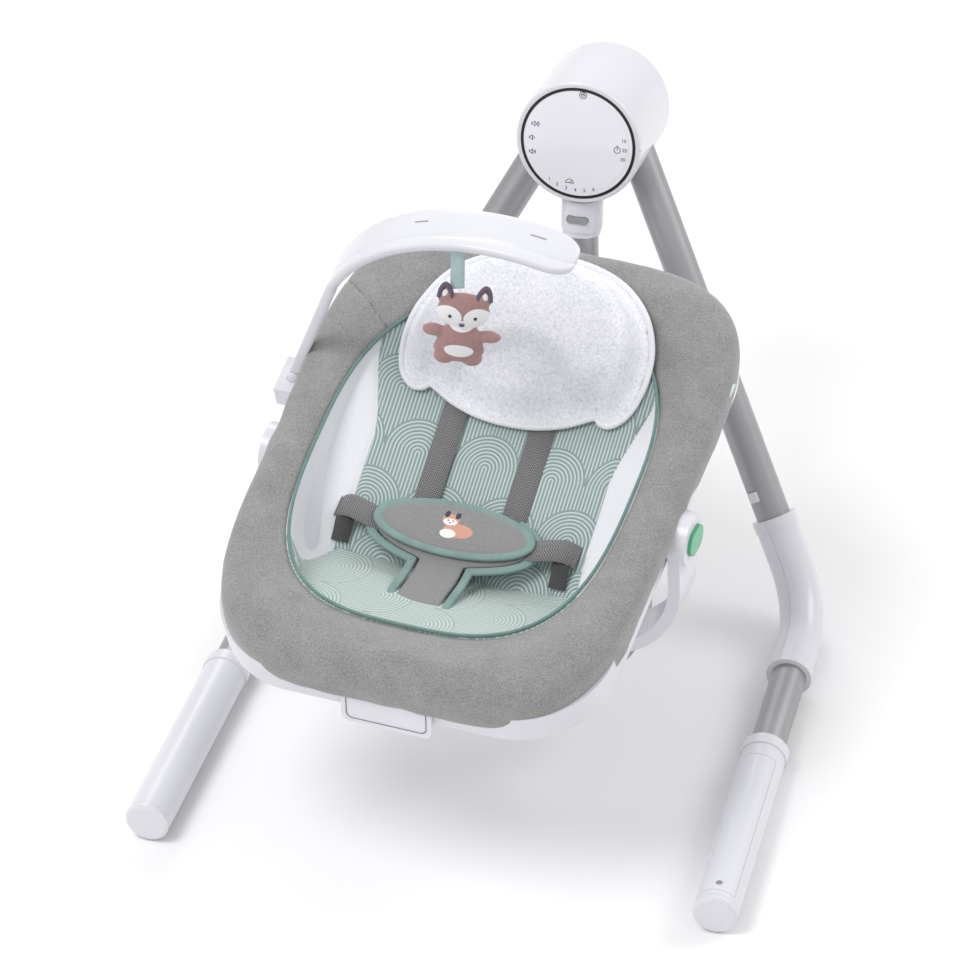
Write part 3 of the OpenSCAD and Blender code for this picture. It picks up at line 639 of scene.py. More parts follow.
def tub_w(u, v, from_edge):
    """Height of the liner at (u, v), a distance from_edge inside the piping."""
    base = soft_max(back_w(v) + 0.0007 * u * u, ramp_w(v) + 0.0002 * u * u, 9)
    base = min(base, EDGE_W - 2)
    t = min(1.0, from_edge / WALL_RUN)
    wall = EDGE_W - WALL_DROP * math.sqrt(max(0.0, 1 - (1 - t) ** 2))
    if from_edge > WALL_RUN:
        return base
    high = soft_max(base, wall, 12)
    return high + (EDGE_W - high) * (1 - smoothstep(from_edge, 0, 5))


def surface_w(u, v):
    """Height of the liner at (u, v)."""
    angle = math.atan2((v - MOUTH_MID) / MOUTH_REACH, u / MOUTH_HALF)
    lo, hi = angle - 0.6, angle + 0.6
    direction = math.atan2(v - MOUTH_MID, u)
    for _ in range(24):
        m = (lo + hi) / 2
        a, b = mouth(m)
        d = (math.atan2(b - MOUTH_MID, a) - direction + math.pi) % math.tau - math.pi
        lo, hi = (lo, m) if d > 0 else (m, hi)
    a, b = mouth(lo)
    return tub_w(u, v, max(0.0, math.hypot(a, b - MOUTH_MID) - math.hypot(u, v - MOUTH_MID)))


def side_limit(v):
    """How far out from the middle the printed panel reaches before the white side panel starts."""
    return 121 + 23 * smoothstep(v, 60, 165) + 4 * smoothstep(-v, -10, 70)


def base_limit(u):
    """Where the seat's base panel ends against the back and the sides."""
    return CREASE_V - 46 * smoothstep(abs(u), 118, 156)


def make_liner():
    rings, turns = 64, 288
    pts, cloth, panel = [], [], []
    for i in range(rings):
        share = 1 - (i / rings) ** 1.25
        run = 0.0
        for j in range(turns):
            a = math.tau * j / turns
            mu, mv = mouth(a)
            u, v = mu * share, MOUTH_MID + (mv - MOUTH_MID) * share
            inside = (1 - share) * math.hypot(mu, mv - MOUTH_MID)
            w = tub_w(u, v, inside)
            limit, edge = side_limit(v), base_limit(u)
            side = abs(u) - limit if v > edge else -1.0
            gap_side = abs(abs(u) - limit) if v > edge else 99.0
            gap_base = abs(v - edge)
            seam = min(gap_side, gap_base)
            groove = 2.2 * math.exp(-(gap_side / 2.5) ** 2) + 3.5 * math.exp(-(gap_base / 4) ** 2)
            fade = smoothstep(inside, 0, 6)
            swell = 1.6 * math.sin(u / 31 + 0.6) * math.sin(v / 43 + 0.4)
            w += (swell - groove) * fade
            pts.append(seat(u, v, w))
            cloth.append((u * 1.04 + 42, (v - 60) * 1.035, 0))
            panel.append((side, edge - v, seam if inside > 3 else 9))
    faces = grid_faces(rings, turns, close_cols=True)
    centre = len(pts)
    pts.append(seat(0, MOUTH_MID, tub_w(0, MOUTH_MID, 150)))
    cloth.append((42, (MOUTH_MID - 60) * 1.035, 0))
    panel.append((-120, CREASE_V - MOUTH_MID, 9))
    last = (rings - 1) * turns
    faces += [(last + j, centre, last + (j + 1) % turns) for j in range(turns)]
    obj = new_object("seat_liner_cloth", pts, faces, LINER)
    set_vectors(obj, "cloth", cloth)
    set_vectors(obj, "panel", panel)
    bm = bmesh.new()
    bm.from_mesh(obj.data)
    bmesh.ops.recalc_face_normals(bm, faces=bm.faces)
    if sum((f.normal.dot(SEAT_NORMAL) for f in bm.faces)) < 0:
        bmesh.ops.reverse_faces(bm, faces=bm.faces)
    bm.to_mesh(obj.data)
    bm.free()
    m = obj.modifiers.new("thick", "SOLIDIFY")
    m.thickness, m.offset = 0.004, -1
    apply_modifiers(obj)
    finish_piece(obj, "seat", "liner_fabric", "seat_liner")


def mouth_path(lift, count=260):
    """Points along the piping, round the opening of the rim."""
    return [seat(*mouth(math.tau * j / count, inset=0.5), EDGE_W + lift) for j in range(count)]


def make_rim():
    """The thick padded ring: a swept section, swollen by the cloth solver, then creased where it is sewn."""
    turns = 220
    pts = []
    for j in range(turns):
        a = math.tau * j / turns
        ou, ov = rim_outline(a)
        iu, iv = mouth(a, inset=0.5)
        d = math.hypot(ou - iu, ov - iv)
        deep = 13 * smoothstep(-ov, 60, 130)
        section = [(2, -8), (3, -21 - deep), (7, -28 - deep), (12, -26 - deep), (13.5, -17), (d * 0.5, -17),
                   (d - 3, -14), (d, -4),
                   (d, 5), (d - 6, 9.5), (d * 0.72, 13.5), (d * 0.45, 16.5), (19, 15.5), (9, 10.5), (3.5, 2)]
        for o, w in section:
            t = o / d
            pts.append(seat(ou + (iu - ou) * t, ov + (iv - ov) * t, w))
    k = len(section)
    obj = new_object("rim_padding", pts, grid_faces(turns, k, close_rows=True, close_cols=True), RIM)
    fix_normals(obj)
    outer = [seat(*rim_outline(math.tau * j / 260), RIM_LOW) for j in range(260)]
    puff(obj, 0.0045, 0.005, seam=mouth_path(0) + outer, pressure=3.5, relax=3)
    co = points_of(obj.data)
    marks = np.zeros_like(co)
    u, v, w = to_seat(co).T
    for (u0, v0), (du, dv) in (((-140, 168), (-1, 0.75)),):
        length = math.hypot(du, dv)
        along = ((u - u0) * du + (v - v0) * dv) / length
        gap = np.abs((u - u0) * -dv + (v - v0) * du) / length
        on = (along > -12) & (w > -24)
        depth = 1.5 * np.exp(-(gap / 2.2) ** 2) * on
        co += np.outer(-depth * MM, np.array(SEAT_NORMAL)) * (w > 0)[:, None]
        co += np.outer(-depth * MM, np.array(SEAT_RIGHT)) * (w <= 0)[:, None] * np.sign(du)
        marks[:, 0] = np.maximum(marks[:, 0], (gap < 0.8) & on)
    obj.data.vertices.foreach_set("co", co.ravel())
    set_vectors(obj, "marks", marks)
    finish_piece(obj, "seat", "rim_fabric", "rim_cushion")


def make_piping():
    obj = tube("rim_piping_cord", mouth_path(1.2), 0.0017, PIPING)
    finish_piece(obj, "seat", "piping_fabric", "rim_piping")


# ---------- headrest ----------
PILLOW_U = 4
PILLOW_HALF = [(0, 103), (30, 105), (58, 112), (80, 122), (87, 124), (93, 119), (103, 118), (115, 127),
               (123, 145), (126, 172), (121, 202), (105, 232), (76, 257), (40, 271), (0, 275)]


def pillow_outline(steps=8):
    right = PILLOW_HALF
    left = [(-u, v) for u, v in reversed(right[1:-1])]
    return [(u + PILLOW_U, v) for u, v in catmull(right + left, steps)]


def pillow_floor(u, v):
    """The height that the pillow lies at: on the back, and up over the rim at the head end."""
    return back_w(v) + 0.0006 * u * u + 6 + 5 * smoothstep(v, 205, 250)


def outline_gap(u, v, ring):
    a = ring
    b = np.roll(ring, -1, axis=0)
    p = np.array([u, v])
    t = np.clip(((p - a) * (b - a)).sum(1) / ((b - a) ** 2).sum(1), 0, 1)
    return float(np.min(np.linalg.norm(a + (b - a) * t[:, None] - p, axis=1)))


FLANGE_W = 5


def pillow_height(u, v, gap):
    """Height of the stuffed part over its floor: a horseshoe bolster round a low middle."""
    rise = smoothstep(gap, FLANGE_W, FLANGE_W + 26)
    e = math.hypot((u - PILLOW_U) / 68, (v - 106) / 66)
    hollow = 1 - smoothstep(e, 0.86, 1.1)
    crease = math.exp(-((e - 0.9) / 0.06) ** 2)
    return 3 + rise * (34 - 20 * hollow - 5 * crease)


def make_headrest():
    ring = np.array(pillow_outline())
    mid = np.array([PILLOW_U, 190.0])
    rings, turns = 46, len(ring)
    def sheet_points(height, scale=1.0):
        out = []
        for i in range(rings):
            share = (1 - i / rings) * scale
            for u, v in mid + (ring - mid) * share:
                gap = outline_gap(u, v, ring)
                out.append((u, v, pillow_floor(u, v) + height(u, v, gap)))
        return out
    top = sheet_points(pillow_height, 0.995)
    low = sheet_points(lambda u, v, gap: -2.0, 0.995)
    tops = [seat(*p) for p in top] + [seat(mid[0], mid[1], pillow_floor(*mid) + pillow_height(*mid, 80))]
    lows = [seat(*p) for p in low] + [seat(mid[0], mid[1], pillow_floor(*mid) - 2)]
    obj = fix_normals(new_object("headrest_pillow", tops + lows, closed_discs(rings, turns), FLEECE))
    sewn = [seat(u, v, pillow_floor(u, v)) for u, v in ring]
    puff(obj, 0.0038, 0.004, seam=sewn, pressure=2.5, relax=2)
    finish_piece(obj, "seat", "pillow_fleece", "headrest")
    edge = []
    for u, v in ring:
        inward = (mid - np.array((u, v))) / np.linalg.norm(mid - np.array((u, v)))
        u, v = np.array((u, v)) + inward * 0.8
        edge.append(seat(u, v, pillow_floor(u, v) + 1.2))
    border = tube("headrest_edge", edge, 0.0029, FLANGE)
    finish_piece(border, "seat", "pillow_fleece")


# ---------- harness ----------
PAD_AT = (-8, -18, -40)
PAD_RX, PAD_RY = 83, 32


def strap_normals(centre, across, sign=1):
    """The face normal at each point of a strap that is flat along across."""
    last = len(centre) - 1
    return [(centre[min(i + 1, last)] - centre[max(i - 1, 0)]).normalized().cross(across).normalized() * sign
            for i in range(last + 1)]


def strap_between(name, side_points, look, width=STRAP, thick=1.8):
    """A strap through points of (u, v, w), lying flat with its width along u."""
    pts = catmull(side_points, 10, closed=False) + [np.array(side_points[-1], float)]
    centre = [seat(*p) for p in pts]
    return ribbon(name, centre, SEAT_RIGHT, strap_normals(centre, SEAT_RIGHT), width, thick, look)


def make_shoulder_straps():
    for name, u in (("shoulder_strap_left", -51), ("shoulder_strap_right", 40)):
        lift = 2.2
        route = [(u, v, surface_w(u, v) + lift) for v in (158, 130, 100, 70, 40, 18)]
        route += [(u, 2, PAD_AT[2] - 8), (u * 0.94, -16, PAD_AT[2] - 5)]
        obj = strap_between(name + "_webbing", route, WEB)
        finish_piece(obj, "seat", "webbing", name)


def make_waist_straps():
    """Short straps from under the oval pad to the sides, each with its end folded down in a darker copy of the webbing,
    painted shade.
    """
    for name, s in (("waist_strap_left", -1), ("waist_strap_right", 1)):
        mid = PAD_AT[0]
        run = [(s * 74, -22, 0), (s * 88, -20, 4), (s * 100, -17, 5), (s * 112, -14, 3), (s * 121, -13, -3),
               (s * 124, -13, -10)]
        route = [(mid + u, v, max(PAD_AT[2] + 1 + h, surface_w(mid + u, v) + 2.5)) for u, v, h in run]
        pts = catmull(route, 8, closed=False) + [np.array(route[-1], float)]
        centre = [seat(*p) for p in pts]
        normal = strap_normals(centre, SEAT_ALONG, s)
        obj = ribbon(name + "_webbing", centre, SEAT_ALONG, normal, STRAP, 1.8, WEB)
        finish_piece(obj, "seat", "webbing", name)
        hang = mid + s * 112
        drops = ((-25, 0), (-30, 3), (-37, 8), (-46, 14))
        tail = [(hang, v, max(PAD_AT[2] - h, surface_w(hang, v) + 2)) for v, h in drops]
        # The folded-down end is drawn in the darker webbing copy, as painted shade.
        fold = strap_between(name + "_tail", tail, SHADED_WEB, width=17)
        finish_piece(fold, "seat", "webbing")


def ellipse_ring(rx, ry, count=96):
    return [(rx * math.cos(math.tau * k / count), ry * math.sin(math.tau * k / count)) for k in range(count)]


def pad_point(x, y, z):
    return seat(PAD_AT[0] + x, PAD_AT[1] + y, PAD_AT[2] + z)


def disc_mesh(name, look, rx, ry, top, low, rings=14, count=96):
    """A closed crowned oval pad; top and low give its two heights from the share of the radius."""
    pts, cloth = [], []
    for side, height in ((1, top), (0, low)):
        for i in range(rings):
            share = 1 - i / rings
            for x, y in ellipse_ring(rx * share, ry * share, count):
                pts.append(pad_point(x, y, height(share)))
                cloth.append((x, y, side))
        pts.append(pad_point(0, 0, height(0)))
        cloth.append((0, 0, side))
    obj = new_object(name, pts, closed_discs(rings, count), look)
    set_vectors(obj, "cloth", cloth)
    face_outward(obj)
    return obj


def edge_band(name, outer, height, width, thick, look, closed=True):
    """Binding folded over an edge: a flattened tube that hugs the outline. Points are (x, y) of the pad."""
    n, sides, pts = len(outer), 12, []
    for i in range(n):
        a = outer[(i + 1) % n] if closed or i + 1 < n else outer[i]
        b = outer[i - 1] if closed or i else outer[i]
        tx, ty = a[0] - b[0], a[1] - b[1]
        d = math.hypot(tx, ty)
        nx, ny = ty / d, -tx / d
        for k in range(sides):
            c, s = math.cos(math.tau * k / sides), math.sin(math.tau * k / sides)
            o = -width / 2 + math.copysign(abs(c) ** 0.6, c) * width / 2
            z = height(i) + math.copysign(abs(s) ** 0.7, s) * thick / 2
            pts.append(pad_point(outer[i][0] + nx * o, outer[i][1] + ny * o, z))
    faces = grid_faces(n, sides, close_rows=closed, close_cols=True)
    if not closed:
        faces += end_caps(n, sides)
    return fix_normals(new_object(name, pts, faces, look))


CROTCH_END = (-5, -98, 9)
NECK_HALF = 25


def make_lap_pad():
    crown = lambda share: 8 + 4.0 * math.sqrt(max(0, 1 - share ** 2.4))
    oval_pad = disc_mesh("lap_pad_top", PAD, PAD_RX - 5, PAD_RY - 5, crown, lambda share: 4.5)
    finish_piece(oval_pad, "seat", "pad_fabric", "lap_pad", levels=1)
    ring = ellipse_ring(PAD_RX, PAD_RY)
    top_edge = edge_band("lap_pad_edging", ring, lambda i: 7.0, 9.5, 5.2, EDGING)
    finish_piece(top_edge, "seat", "piping_fabric", "lap_pad_piping", levels=1)


def crotch_half(y):
    """Half the width of the lower pad at y: the oval's end above, easing into a straight neck below it."""
    wide = (PAD_RX - 1) * math.sqrt(max(0.0, 1 - ((y + 3) / (PAD_RY + 1)) ** 2))
    return soft_max(wide, NECK_HALF, 30) if y < -12 else wide


def make_crotch_pad():
    """The T-shaped pad under the oval one, its neck running down into the seat's base."""
    end = CROTCH_END[1]
    ys = [28 - (28 - end) * (i / 80) for i in range(81)]
    drop = lambda y: -2.0 * smoothstep(-y, 20, 60) + CROTCH_END[2] * smoothstep(-y, 45, -end)
    slide = lambda y: CROTCH_END[0] * smoothstep(-y, 25, -end)
    cols, pts, cloth = 17, [], []
    for side in (1, 0):
        for y in ys:
            half = crotch_half(y) - 3
            for c in range(cols):
                x = (2 * c / (cols - 1) - 1)
                bulge = 1.6 * (1 - x * x) if side else 0
                pts.append(pad_point(x * half + slide(y), y, drop(y) + (2.4 if side else -0.6) + bulge))
                cloth.append((x * half, y, 0))
    rows, m = len(ys), len(ys) * cols
    part = grid_faces(rows, cols)
    faces = part + [tuple(m + x for x in f[::-1]) for f in part]
    rim = list(range(cols)) + [r * cols + cols - 1 for r in range(1, rows)]
    rim += [(rows - 1) * cols + c for c in range(cols - 2, -1, -1)] + [r * cols for r in range(rows - 2, 0, -1)]
    faces += [(a, b, m + b, m + a) for a, b in zip(rim, rim[1:] + rim[:1])]
    obj = new_object("crotch_pad", pts, faces, PAD)
    set_vectors(obj, "cloth", cloth)
    face_outward(obj)
    finish_piece(obj, "seat", "pad_fabric", "crotch_strap")
    for name, s in (("left", -1), ("right", 1)):
        order = ys[4:] if s > 0 else ys[:3:-1]
        line = [(s * crotch_half(y) + slide(y), y) for y in order]
        heights = [drop(y) + 1.2 for y in order]
        band = edge_band("crotch_edging_" + name, line, heights.__getitem__, 8.5, 5.0, EDGING, closed=False)
        finish_piece(band, "seat", "piping_fabric", levels=1)


def rounded_box(name, place, size, radius, look):
    """A box with rounded edges; place maps (x, y, z) in mm to the row frame."""
    bm = bmesh.new()
    bmesh.ops.create_cube(bm, size=1)
    bmesh.ops.bevel(bm, geom=bm.edges[:], offset=radius / max(size), segments=1, affect="EDGES")
    for v in bm.verts:
        v.co = place(v.co.x * size[0], v.co.y * size[1], v.co.z * size[2])
    return fix_normals(from_bmesh(name, bm, look))


def make_buckle():
    obj = rounded_box("buckle_body", lambda x, y, z: pad_point(x, y - 2, z - 5), (46, 30, 7), 2.5, BLACK)
    finish_piece(obj, "seat", "black_plastic", "buckle", levels=2)


def make_tag():
    base_u = rim_outline(0.62)[0] + 1
    pts, cols = [], 9
    for i in range(cols):
        t = i / (cols - 1)
        for v in (176, 192):
            pts.append(seat(base_u - 3 + 17 * t, v + 2 * t, -3 + 2.0 * math.sin(t * 2.4)))
    obj = new_object("side_tag_loop", pts, grid_faces(cols, 2), TAG)
    m = obj.modifiers.new("thick", "SOLIDIFY")
    m.thickness = 0.0012
    apply_modifiers(obj)
    finish_piece(obj, "seat", "tag_white", "side_tag")


# ---------- toy bar and toy ----------
BAR_V, BAR_C, BAR_R, BAR_W, BAR_T = 125, (24, 54), 205, 46, 11
BAR_A0, BAR_A1, BAR_FOOT, TOY_A = 67, 158.7, (-230, -36), 101
STEM_SIDES = 24


def bar_frame_at(u, w, y):
    """Bar coordinates: u and w in the seat frame, y across the band towards the foot end."""
    return seat(u, BAR_V - y, w)


def make_toy_bar():
    """The band's arch and leg with rounded edges, a raised lip along the crown and a slot for the ribbon, whose
    openings are grey strips of painted shade.
    """
    path = []
    steps = 56
    for i in range(steps + 1):
        a = math.radians(BAR_A0 + (BAR_A1 - BAR_A0) * i / steps)
        path.append((BAR_C[0] + (BAR_R - BAR_T / 2) * math.cos(a), BAR_C[1] + (BAR_R - BAR_T / 2) * math.sin(a),
                     math.cos(a), math.sin(a)))
    eu, ew = path[-1][0], path[-1][1]
    for t in (0.12, 0.3, 0.5, 0.7, 0.85, 1.0):
        path.append((eu + (BAR_FOOT[0] - eu) * t, ew + (BAR_FOOT[1] - ew) * t, path[steps][2], path[steps][3]))
    half_at = lambda i: (BAR_W / 2 * math.sqrt(max(0.02, 1 - ((5 - i) / 5.6) ** 2)) if i < 5 else
                         BAR_W / 2 - 15.5 * smoothstep(i, steps - 6, steps + 2))
    section = [(-1, -0.35), (-0.93, -0.5), (0, -0.5), (0.93, -0.5), (1, -0.35), (1, 0.30), (0.95, 0.46),
               (0.86, 0.5), (0.52, 0.5), (0.47, 0.36), (0.42, 0.36), (0.37, 0.5), (-0.9, 0.5), (-0.97, 0.44), (-1, 0.3)]
    pts = []
    for i, (u, w, nu, nw) in enumerate(path):
        half = half_at(i)
        for y, o in section:
            pts.append(bar_frame_at(u + nu * o * BAR_T, w + nw * o * BAR_T, y * half))
    k = len(section)
    faces = grid_faces(len(path), k, close_cols=True)
    faces += end_caps(len(path), k)
    obj = fix_normals(new_object("toy_bar_band", pts, faces, WHITE))
    finish_piece(obj, "toy_arch", "white_plastic", "toy_bar", levels=1)
    stem_path = [seat(BAR_FOOT[0], BAR_V, w) for w in (-62, -60, -50, -40, -33, -30)]
    stem, radii = [], (7.5, 8.9, 8.9, 8.9, 8.9, 7.0)
    for p, r in zip(stem_path, radii):
        turn = [math.tau * n / STEM_SIDES for n in range(STEM_SIDES)]
        stem += [p + (SEAT_RIGHT * math.cos(a) + SEAT_ALONG * math.sin(a)) * r * MM for a in turn]
    faces = grid_faces(len(radii), STEM_SIDES, close_cols=True) + end_caps(len(radii), STEM_SIDES)
    post = fix_normals(new_object("toy_bar_stem", stem, faces, WHITE))
    finish_piece(post, "toy_arch", "white_plastic", levels=1)
    # Two thin grey strips on the band stand for the ribbon's slots: painted shade inside the openings.
    for n, a in enumerate((TOY_A - 22, TOY_A + 12)):
        c, s = math.cos(math.radians(a)), math.sin(math.radians(a))
        place = lambda x, y, z: bar_frame_at(BAR_C[0] + (BAR_R + z) * c - x * s,
                                             BAR_C[1] + (BAR_R + z) * s + x * c, y - 7)
        slit = rounded_box("toy_bar_slit_%d" % n, place, (15, 1.1, 0.8), 0.2, GREY_AND_SLOT_SHADE)
        finish_piece(slit, "toy_arch", "grey_plastic")


TOY_SIZE = 0.93


def make_toy():
    plush_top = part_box("toy_plush")[1].z
    rlo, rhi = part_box("toy_ribbon")
    mid_x, mid_y = (rlo.x + rhi.x) / 2, (rlo.y + rhi.y) / 2
    # the ribbon: a narrow loop from the bar's slot down to the toy's head
    centre, steps = [], 26
    top, low = rhi.z + 0.006, plush_top - 0.004
    for i in range(steps + 1):
        t = i / steps
        centre.append(Vector((mid_x + 0.0006 * math.sin(5 * t), mid_y + 0.0012 * math.sin(math.pi * t),
                              top + (low - top) * t)))
    across = [Vector((math.cos(0.3 * i / steps), math.sin(0.3 * i / steps), 0)) for i in range(steps + 1)]
    normal = [Vector((math.sin(0.3 * i / steps), -math.cos(0.3 * i / steps), 0)) for i in range(steps + 1)]
    band = ribbon("toy_ribbon_loop", centre, across, normal, 13, 0.9, RIBBON)
    finish_piece(band, "toy", "ribbon", "toy_ribbon")
    # the plush: rounded masses joined by a remesh, then swollen
    head = Vector((mid_x + 0.004, mid_y, plush_top - 0.029))
    turn = Matrix.Rotation(math.radians(8), 3, "Y") @ Matrix.Rotation(math.radians(12), 3, "Z")
    def place(x, y, z):
        return head + turn @ Vector((x, -z, y)) * (TOY_SIZE * MM)
    masses = [((0, -1, 0), (27.5, 23, 9.5)), ((0, -41, 0), (24, 25, 9.5)), ((0, -50, 0), (26.5, 17, 9)),
              ((-28, -29, 0), (12, 7.5, 6)), ((29, -31, 0), (13, 7, 6)), ((-14, -61, 0), (11.5, 9.5, 8)),
              ((14, -61, 0), (11.5, 9.5, 8)), ((-19, 18, 0), (9, 15, 5)), ((19, 18, 0), (9, 15, 5)),
              ((0, -24, 0), (17, 9, 8))]
    bm = bmesh.new()
    for (cx, cy, cz), (rx, ry, rz) in masses:
        made = bmesh.ops.create_uvsphere(bm, u_segments=32, v_segments=18, radius=1)
        for v in made["verts"]:
            x, y, z = v.co
            narrow = 1 - 0.75 * max(0.0, y) if cy == 18 else 1.0
            v.co = place(cx + x * rx * narrow, cy + y * ry, cz + z * rz)
    obj = from_bmesh("toy_plush_body", bm, PLUSH)
    puff(obj, 0.0017, 0.0008, pressure=1.5, frames=8, relax=3)
    back = turn.transposed()
    rel = [(back @ (Vector(p) - head)) / (TOY_SIZE * MM) for p in points_of(obj.data)]
    set_vectors(obj, "toy", [(p.x, p.z, -p.y) for p in rel])
    finish_piece(obj, "toy", "plush", "toy_plush")
    def bead(name, x, y, z, r, look):
        b = bmesh.new()
        bmesh.ops.create_uvsphere(b, u_segments=20, v_segments=12, radius=1)
        for v in b.verts:
            v.co = place(x + v.co.x * r[0], y + v.co.y * r[1], z + v.co.z * r[2])
        made = from_bmesh(name, b, look)
        made.data.shade_smooth()
        finish_piece(made, "toy", "plush")
    for side, s in (("left", -1), ("right", 1)):
        bead("toy_eye_" + side, s * 13, -3, 8.6, (1.7, 2.0, 1.0), BLACK)
        ear = [(s * 13.5, 17), (s * 15, 26), (s * 20.5, 33.5), (s * 25, 27), (s * 26.5, 15)]
        path = [place(x, y, 2.2) for x, y in catmull(ear, 6, closed=False)]
        rim = tube("toy_ear_edge_" + side, path, 0.0022, EAR, closed=False)
        finish_piece(rim, "toy", "plush")
        bead("toy_ear_inner_" + side, s * 20, 20.5, 3.2, (3.6, 7.0, 1.6), FLANGE)
    bead("toy_nose", 0, -12.5, 9.4, (3.0, 2.0, 1.5), EAR)


# ---------- printed marks ----------
HUB_TILT = math.radians(14)
PANEL_FRONT = 0.00226            # from the middle of the panel's thickness to just clear of its face
HUB_OUT = Vector((0, -math.cos(HUB_TILT), math.sin(HUB_TILT)))
HUB_UP = Vector((0, math.sin(HUB_TILT), math.cos(HUB_TILT)))


def arc(cx, cy, r, a, b, n=20):
    """Points along a circle from angle a to b, in degrees."""
    turns = [math.radians(a + (b - a) * i / n) for i in range(n + 1)]
    return [(cx + r * math.cos(t), cy + r * math.sin(t)) for t in turns]


def make_panel_marks():
    """Plain dial marks on the touch panel: symbols, minutes and speeds."""
    lo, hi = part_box("control_panel")
    centre = Vector(((lo.x + hi.x) / 2, (lo.y + hi.y) / 2, (lo.z + hi.z) / 2))
    face = centre + HUB_OUT * PANEL_FRONT
    strokes = []
    strokes += [arc(3.5, 52, 3.6, 0, 360, 28), [(3.5, 52.4), (3.5, 54.2)], arc(3.5, 52, 1.6, 120, 420)]
    strokes += [arc(40.5, -1.5, 3.2, 0, 360, 28), [(40.5, -1.5), (40.5, 0.6)], [(39.6, 2.9), (41.4, 2.9)]]
    strokes += [arc(-7, -43, 4, 0, 180), [(-11, -43), (-3, -43)], [(-7, -43), (-5.2, -40.7)]]
    for cx, cy, waves in ((-44.5, 15.5, 3), (-46.5, 0.5, 1), (-46, -14.5, 2)):
        strokes.append([(cx - 3.4, cy - 1), (cx - 2, cy - 1), (cx, cy - 2.6), (cx, cy + 2.6), (cx - 2, cy + 1),
                        (cx - 3.4, cy + 1), (cx - 3.4, cy - 1)])
        strokes += [arc(cx, cy, 1.6 + 1.3 * k, -40, 40, 8) for k in range(waves)]
    at = lambda x, y, h=0.0: face + Vector((x * MM, 0, 0)) + HUB_UP * (y * MM) + HUB_OUT * (h * MM)
    pts, faces = [], []
    for line in strokes:
        for (x0, y0), (x1, y1) in zip(line, line[1:]):
            d = math.hypot(x1 - x0, y1 - y0) or 1.0
            nx, ny = -(y1 - y0) / d * 0.32, (x1 - x0) / d * 0.32
            ex, ey = (x1 - x0) / d * 0.15, (y1 - y0) / d * 0.15
            base = len(pts)
            corners = [(x0 - ex + nx, y0 - ey + ny), (x1 + ex + nx, y1 + ey + ny), (x1 + ex - nx, y1 + ey - ny),
                       (x0 - ex - nx, y0 - ey - ny)]
            pts += [at(x, y, h) for h in (0, 0.08) for x, y in corners]
            faces += [(base, base + 1, base + 2, base + 3), (base + 7, base + 6, base + 5, base + 4)]
            faces += [(base + k, base + 4 + k, base + 4 + (k + 1) % 4, base + (k + 1) % 4) for k in range(4)]
    marks = new_object("panel_symbols", pts, faces, INK, smooth=False)
    finish_piece(marks, "frame", "black_plastic")
    words = [("10", 47, 9), ("20", 48, -1), ("30", 46.5, -11)]
    words += [(str(k + 1), 50 * math.sin(math.radians(a)), -50 * math.cos(math.radians(a)))
              for k, a in enumerate(range(-34, 22, 11))]
    basis = Matrix((Vector((1, 0, 0)), HUB_UP, HUB_OUT)).transposed().to_4x4()
    for k, (word, x, y) in enumerate(words):
        curve = bpy.data.curves.new("dial_%d" % k, "FONT")
        curve.body, curve.size, curve.extrude = word, 0.0052, 0.00004
        curve.align_x, curve.align_y = "CENTER", "CENTER"
        text = bpy.data.objects.new("dial_number_%d" % k, curve)
        scene.collection.objects.link(text)
        text.matrix_world = Matrix.Translation(at(x, y, 0.06)) @ basis
        mesh = bpy.data.meshes.new_from_object(text)
        mesh.transform(text.matrix_world)
        mesh.materials.clear()
        mesh.materials.append(INK)
        solid = bpy.data.objects.new("dial_mark_%d" % k, mesh)
        scene.collection.objects.link(solid)
        bpy.data.objects.remove(text)
        finish_piece(solid, "frame", "black_plastic")


def make_badge_line():
    """The thin rounded outline on the blank badge."""
    lean = math.radians(72)
    x_dir = SEAT_RIGHT
    y_dir = aim(0, math.cos(lean), math.sin(lean))
    z_dir = x_dir.cross(y_dir)
    origin = seat(0, -233 + 5.6, -41) + z_dir * 0.0035
    def outline(hw, hh, r):
        corners = ((1, 1, 0), (-1, 1, 90), (-1, -1, 180), (1, -1, 270))
        return sum([arc(x * (hw - r), y * (hh - r), r, a, a + 90, 6) for x, y, a in corners], [])
    a, b = outline(41, 16, 6), outline(40.2, 15.2, 5.4)
    pts = [origin + x_dir * x * MM + y_dir * y * MM + z_dir * h
           for ring in (a, b) for h in (0, 0.0001) for x, y in ring]
    n = len(a)
    faces = []
    for k in range(n):
        j = (k + 1) % n
        faces += [(k, j, 2 * n + j, 2 * n + k), (n + k, 3 * n + k, 3 * n + j, n + j), (k, n + k, n + j, j),
                  (2 * n + k, 2 * n + j, 3 * n + j, 3 * n + k)]
    line = fix_normals(new_object("badge_outline", pts, faces, OUTLINE))
    finish_piece(line, "seat", "white_plastic")


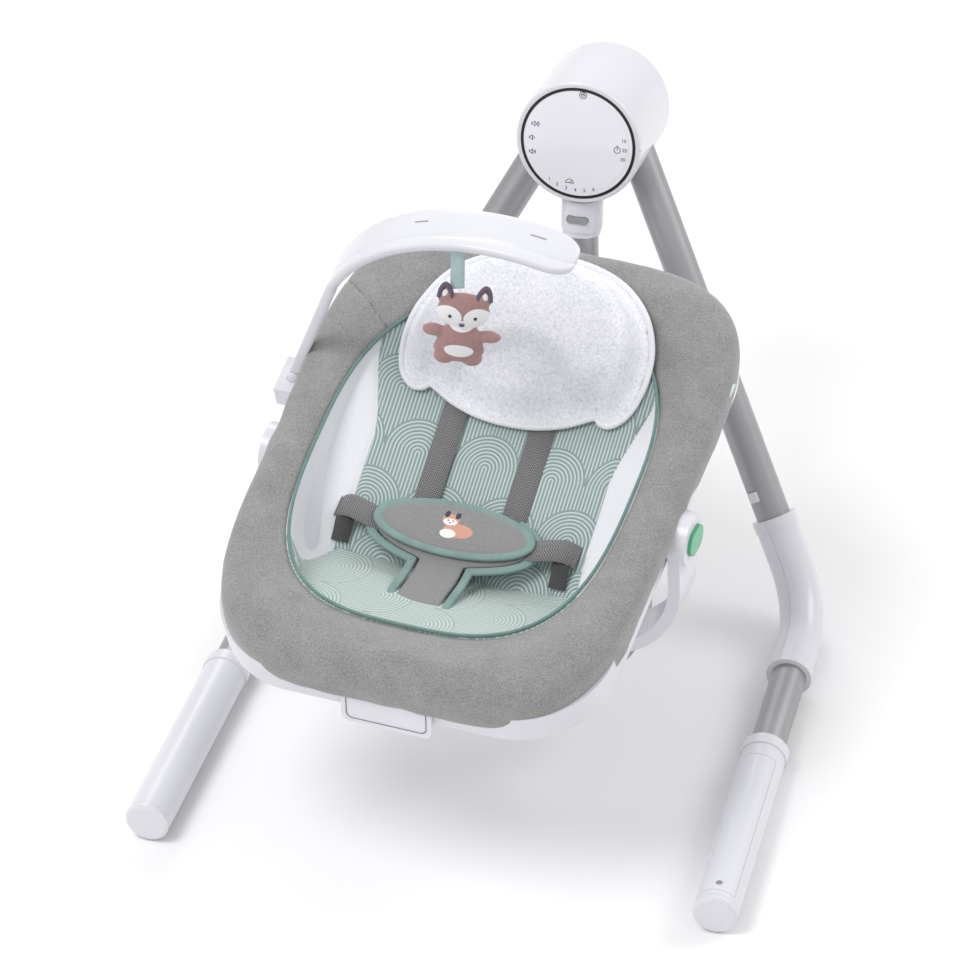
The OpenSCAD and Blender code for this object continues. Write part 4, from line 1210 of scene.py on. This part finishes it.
# ---------- camera, light and floor ----------
def make_camera():
    az, el, roll = math.radians(17.5), math.radians(39), math.radians(-2.874)
    away = Vector((math.sin(az) * math.cos(el), -math.cos(az) * math.cos(el), math.sin(el)))
    right = Vector((math.cos(az), math.sin(az), 0))
    up = away.cross(right)
    turned_right = right * math.cos(roll) + up * math.sin(roll)
    turned_up = up * math.cos(roll) - right * math.sin(roll)
    place = away * 6.04 - turned_right * 0.0391 + turned_up * 0.1892 + Vector((0, -0.02935, 0))
    data = bpy.data.cameras.new("camera")
    data.sensor_width = 36
    data.lens = 224.77
    data.clip_end = 50
    cam = bpy.data.objects.new("camera", data)
    m = Matrix((turned_right, turned_up, away)).transposed().to_4x4()
    m.translation = place
    cam.matrix_world = m
    scene.collection.objects.link(cam)
    scene.camera = cam


def area_light(name, place, target, size, watts, color=(1, 1, 1)):
    data = bpy.data.lights.new(name, "AREA")
    data.shape, data.size, data.energy, data.color = "DISK", size, watts, color
    obj = bpy.data.objects.new(name, data)
    obj.location = place
    obj.rotation_mode = "QUATERNION"
    obj.rotation_quaternion = (Vector(target) - Vector(place)).to_track_quat("-Z", "Y")
    scene.collection.objects.link(obj)


def make_studio():
    world = bpy.data.worlds.new("studio")
    world.use_nodes = True
    world.node_tree.nodes["Background"].inputs[0].default_value = (1, 1, 1, 1)
    world.node_tree.nodes["Background"].inputs[1].default_value = 0.72
    scene.world = world
    area_light("key", (-1.3, -1.5, 3.6), (0, -0.05, 0.3), 1.8, 64)
    area_light("side", (2.4, 1.4, 2.4), (0, 0, 0.3), 1.6, 30)
    area_light("back", (-1.2, 2.6, 2.2), (0, 0, 0.4), 1.4, 16)
    scene.view_settings.view_transform = "Standard"
    look = Look("floor_white", (0.93, 0.93, 0.935), 0.9, Specular_IOR_Level=0.1)
    haze = look.noise(3, 2)
    look.paint(look.ramp(haze, [(0.3, (0.925, 0.925, 0.93)), (0.7, (0.935, 0.935, 0.94))]))
    pts = [(x, y, 0) for x, y in ((-9, -9), (9, -9), (9, 9), (-9, 9))]
    floor = new_object("floor", pts, [(0, 1, 2, 3)], look.mat, smooth=False)


make_camera()
make_studio()
dress_cad()
make_rim()
make_piping()
make_liner()
make_headrest()
make_shoulder_straps()
make_waist_straps()
make_crotch_pad()
make_lap_pad()
make_buckle()
make_tag()
make_toy_bar()
make_toy()
make_panel_marks()
make_badge_line()

bpy.context.view_layer.update()
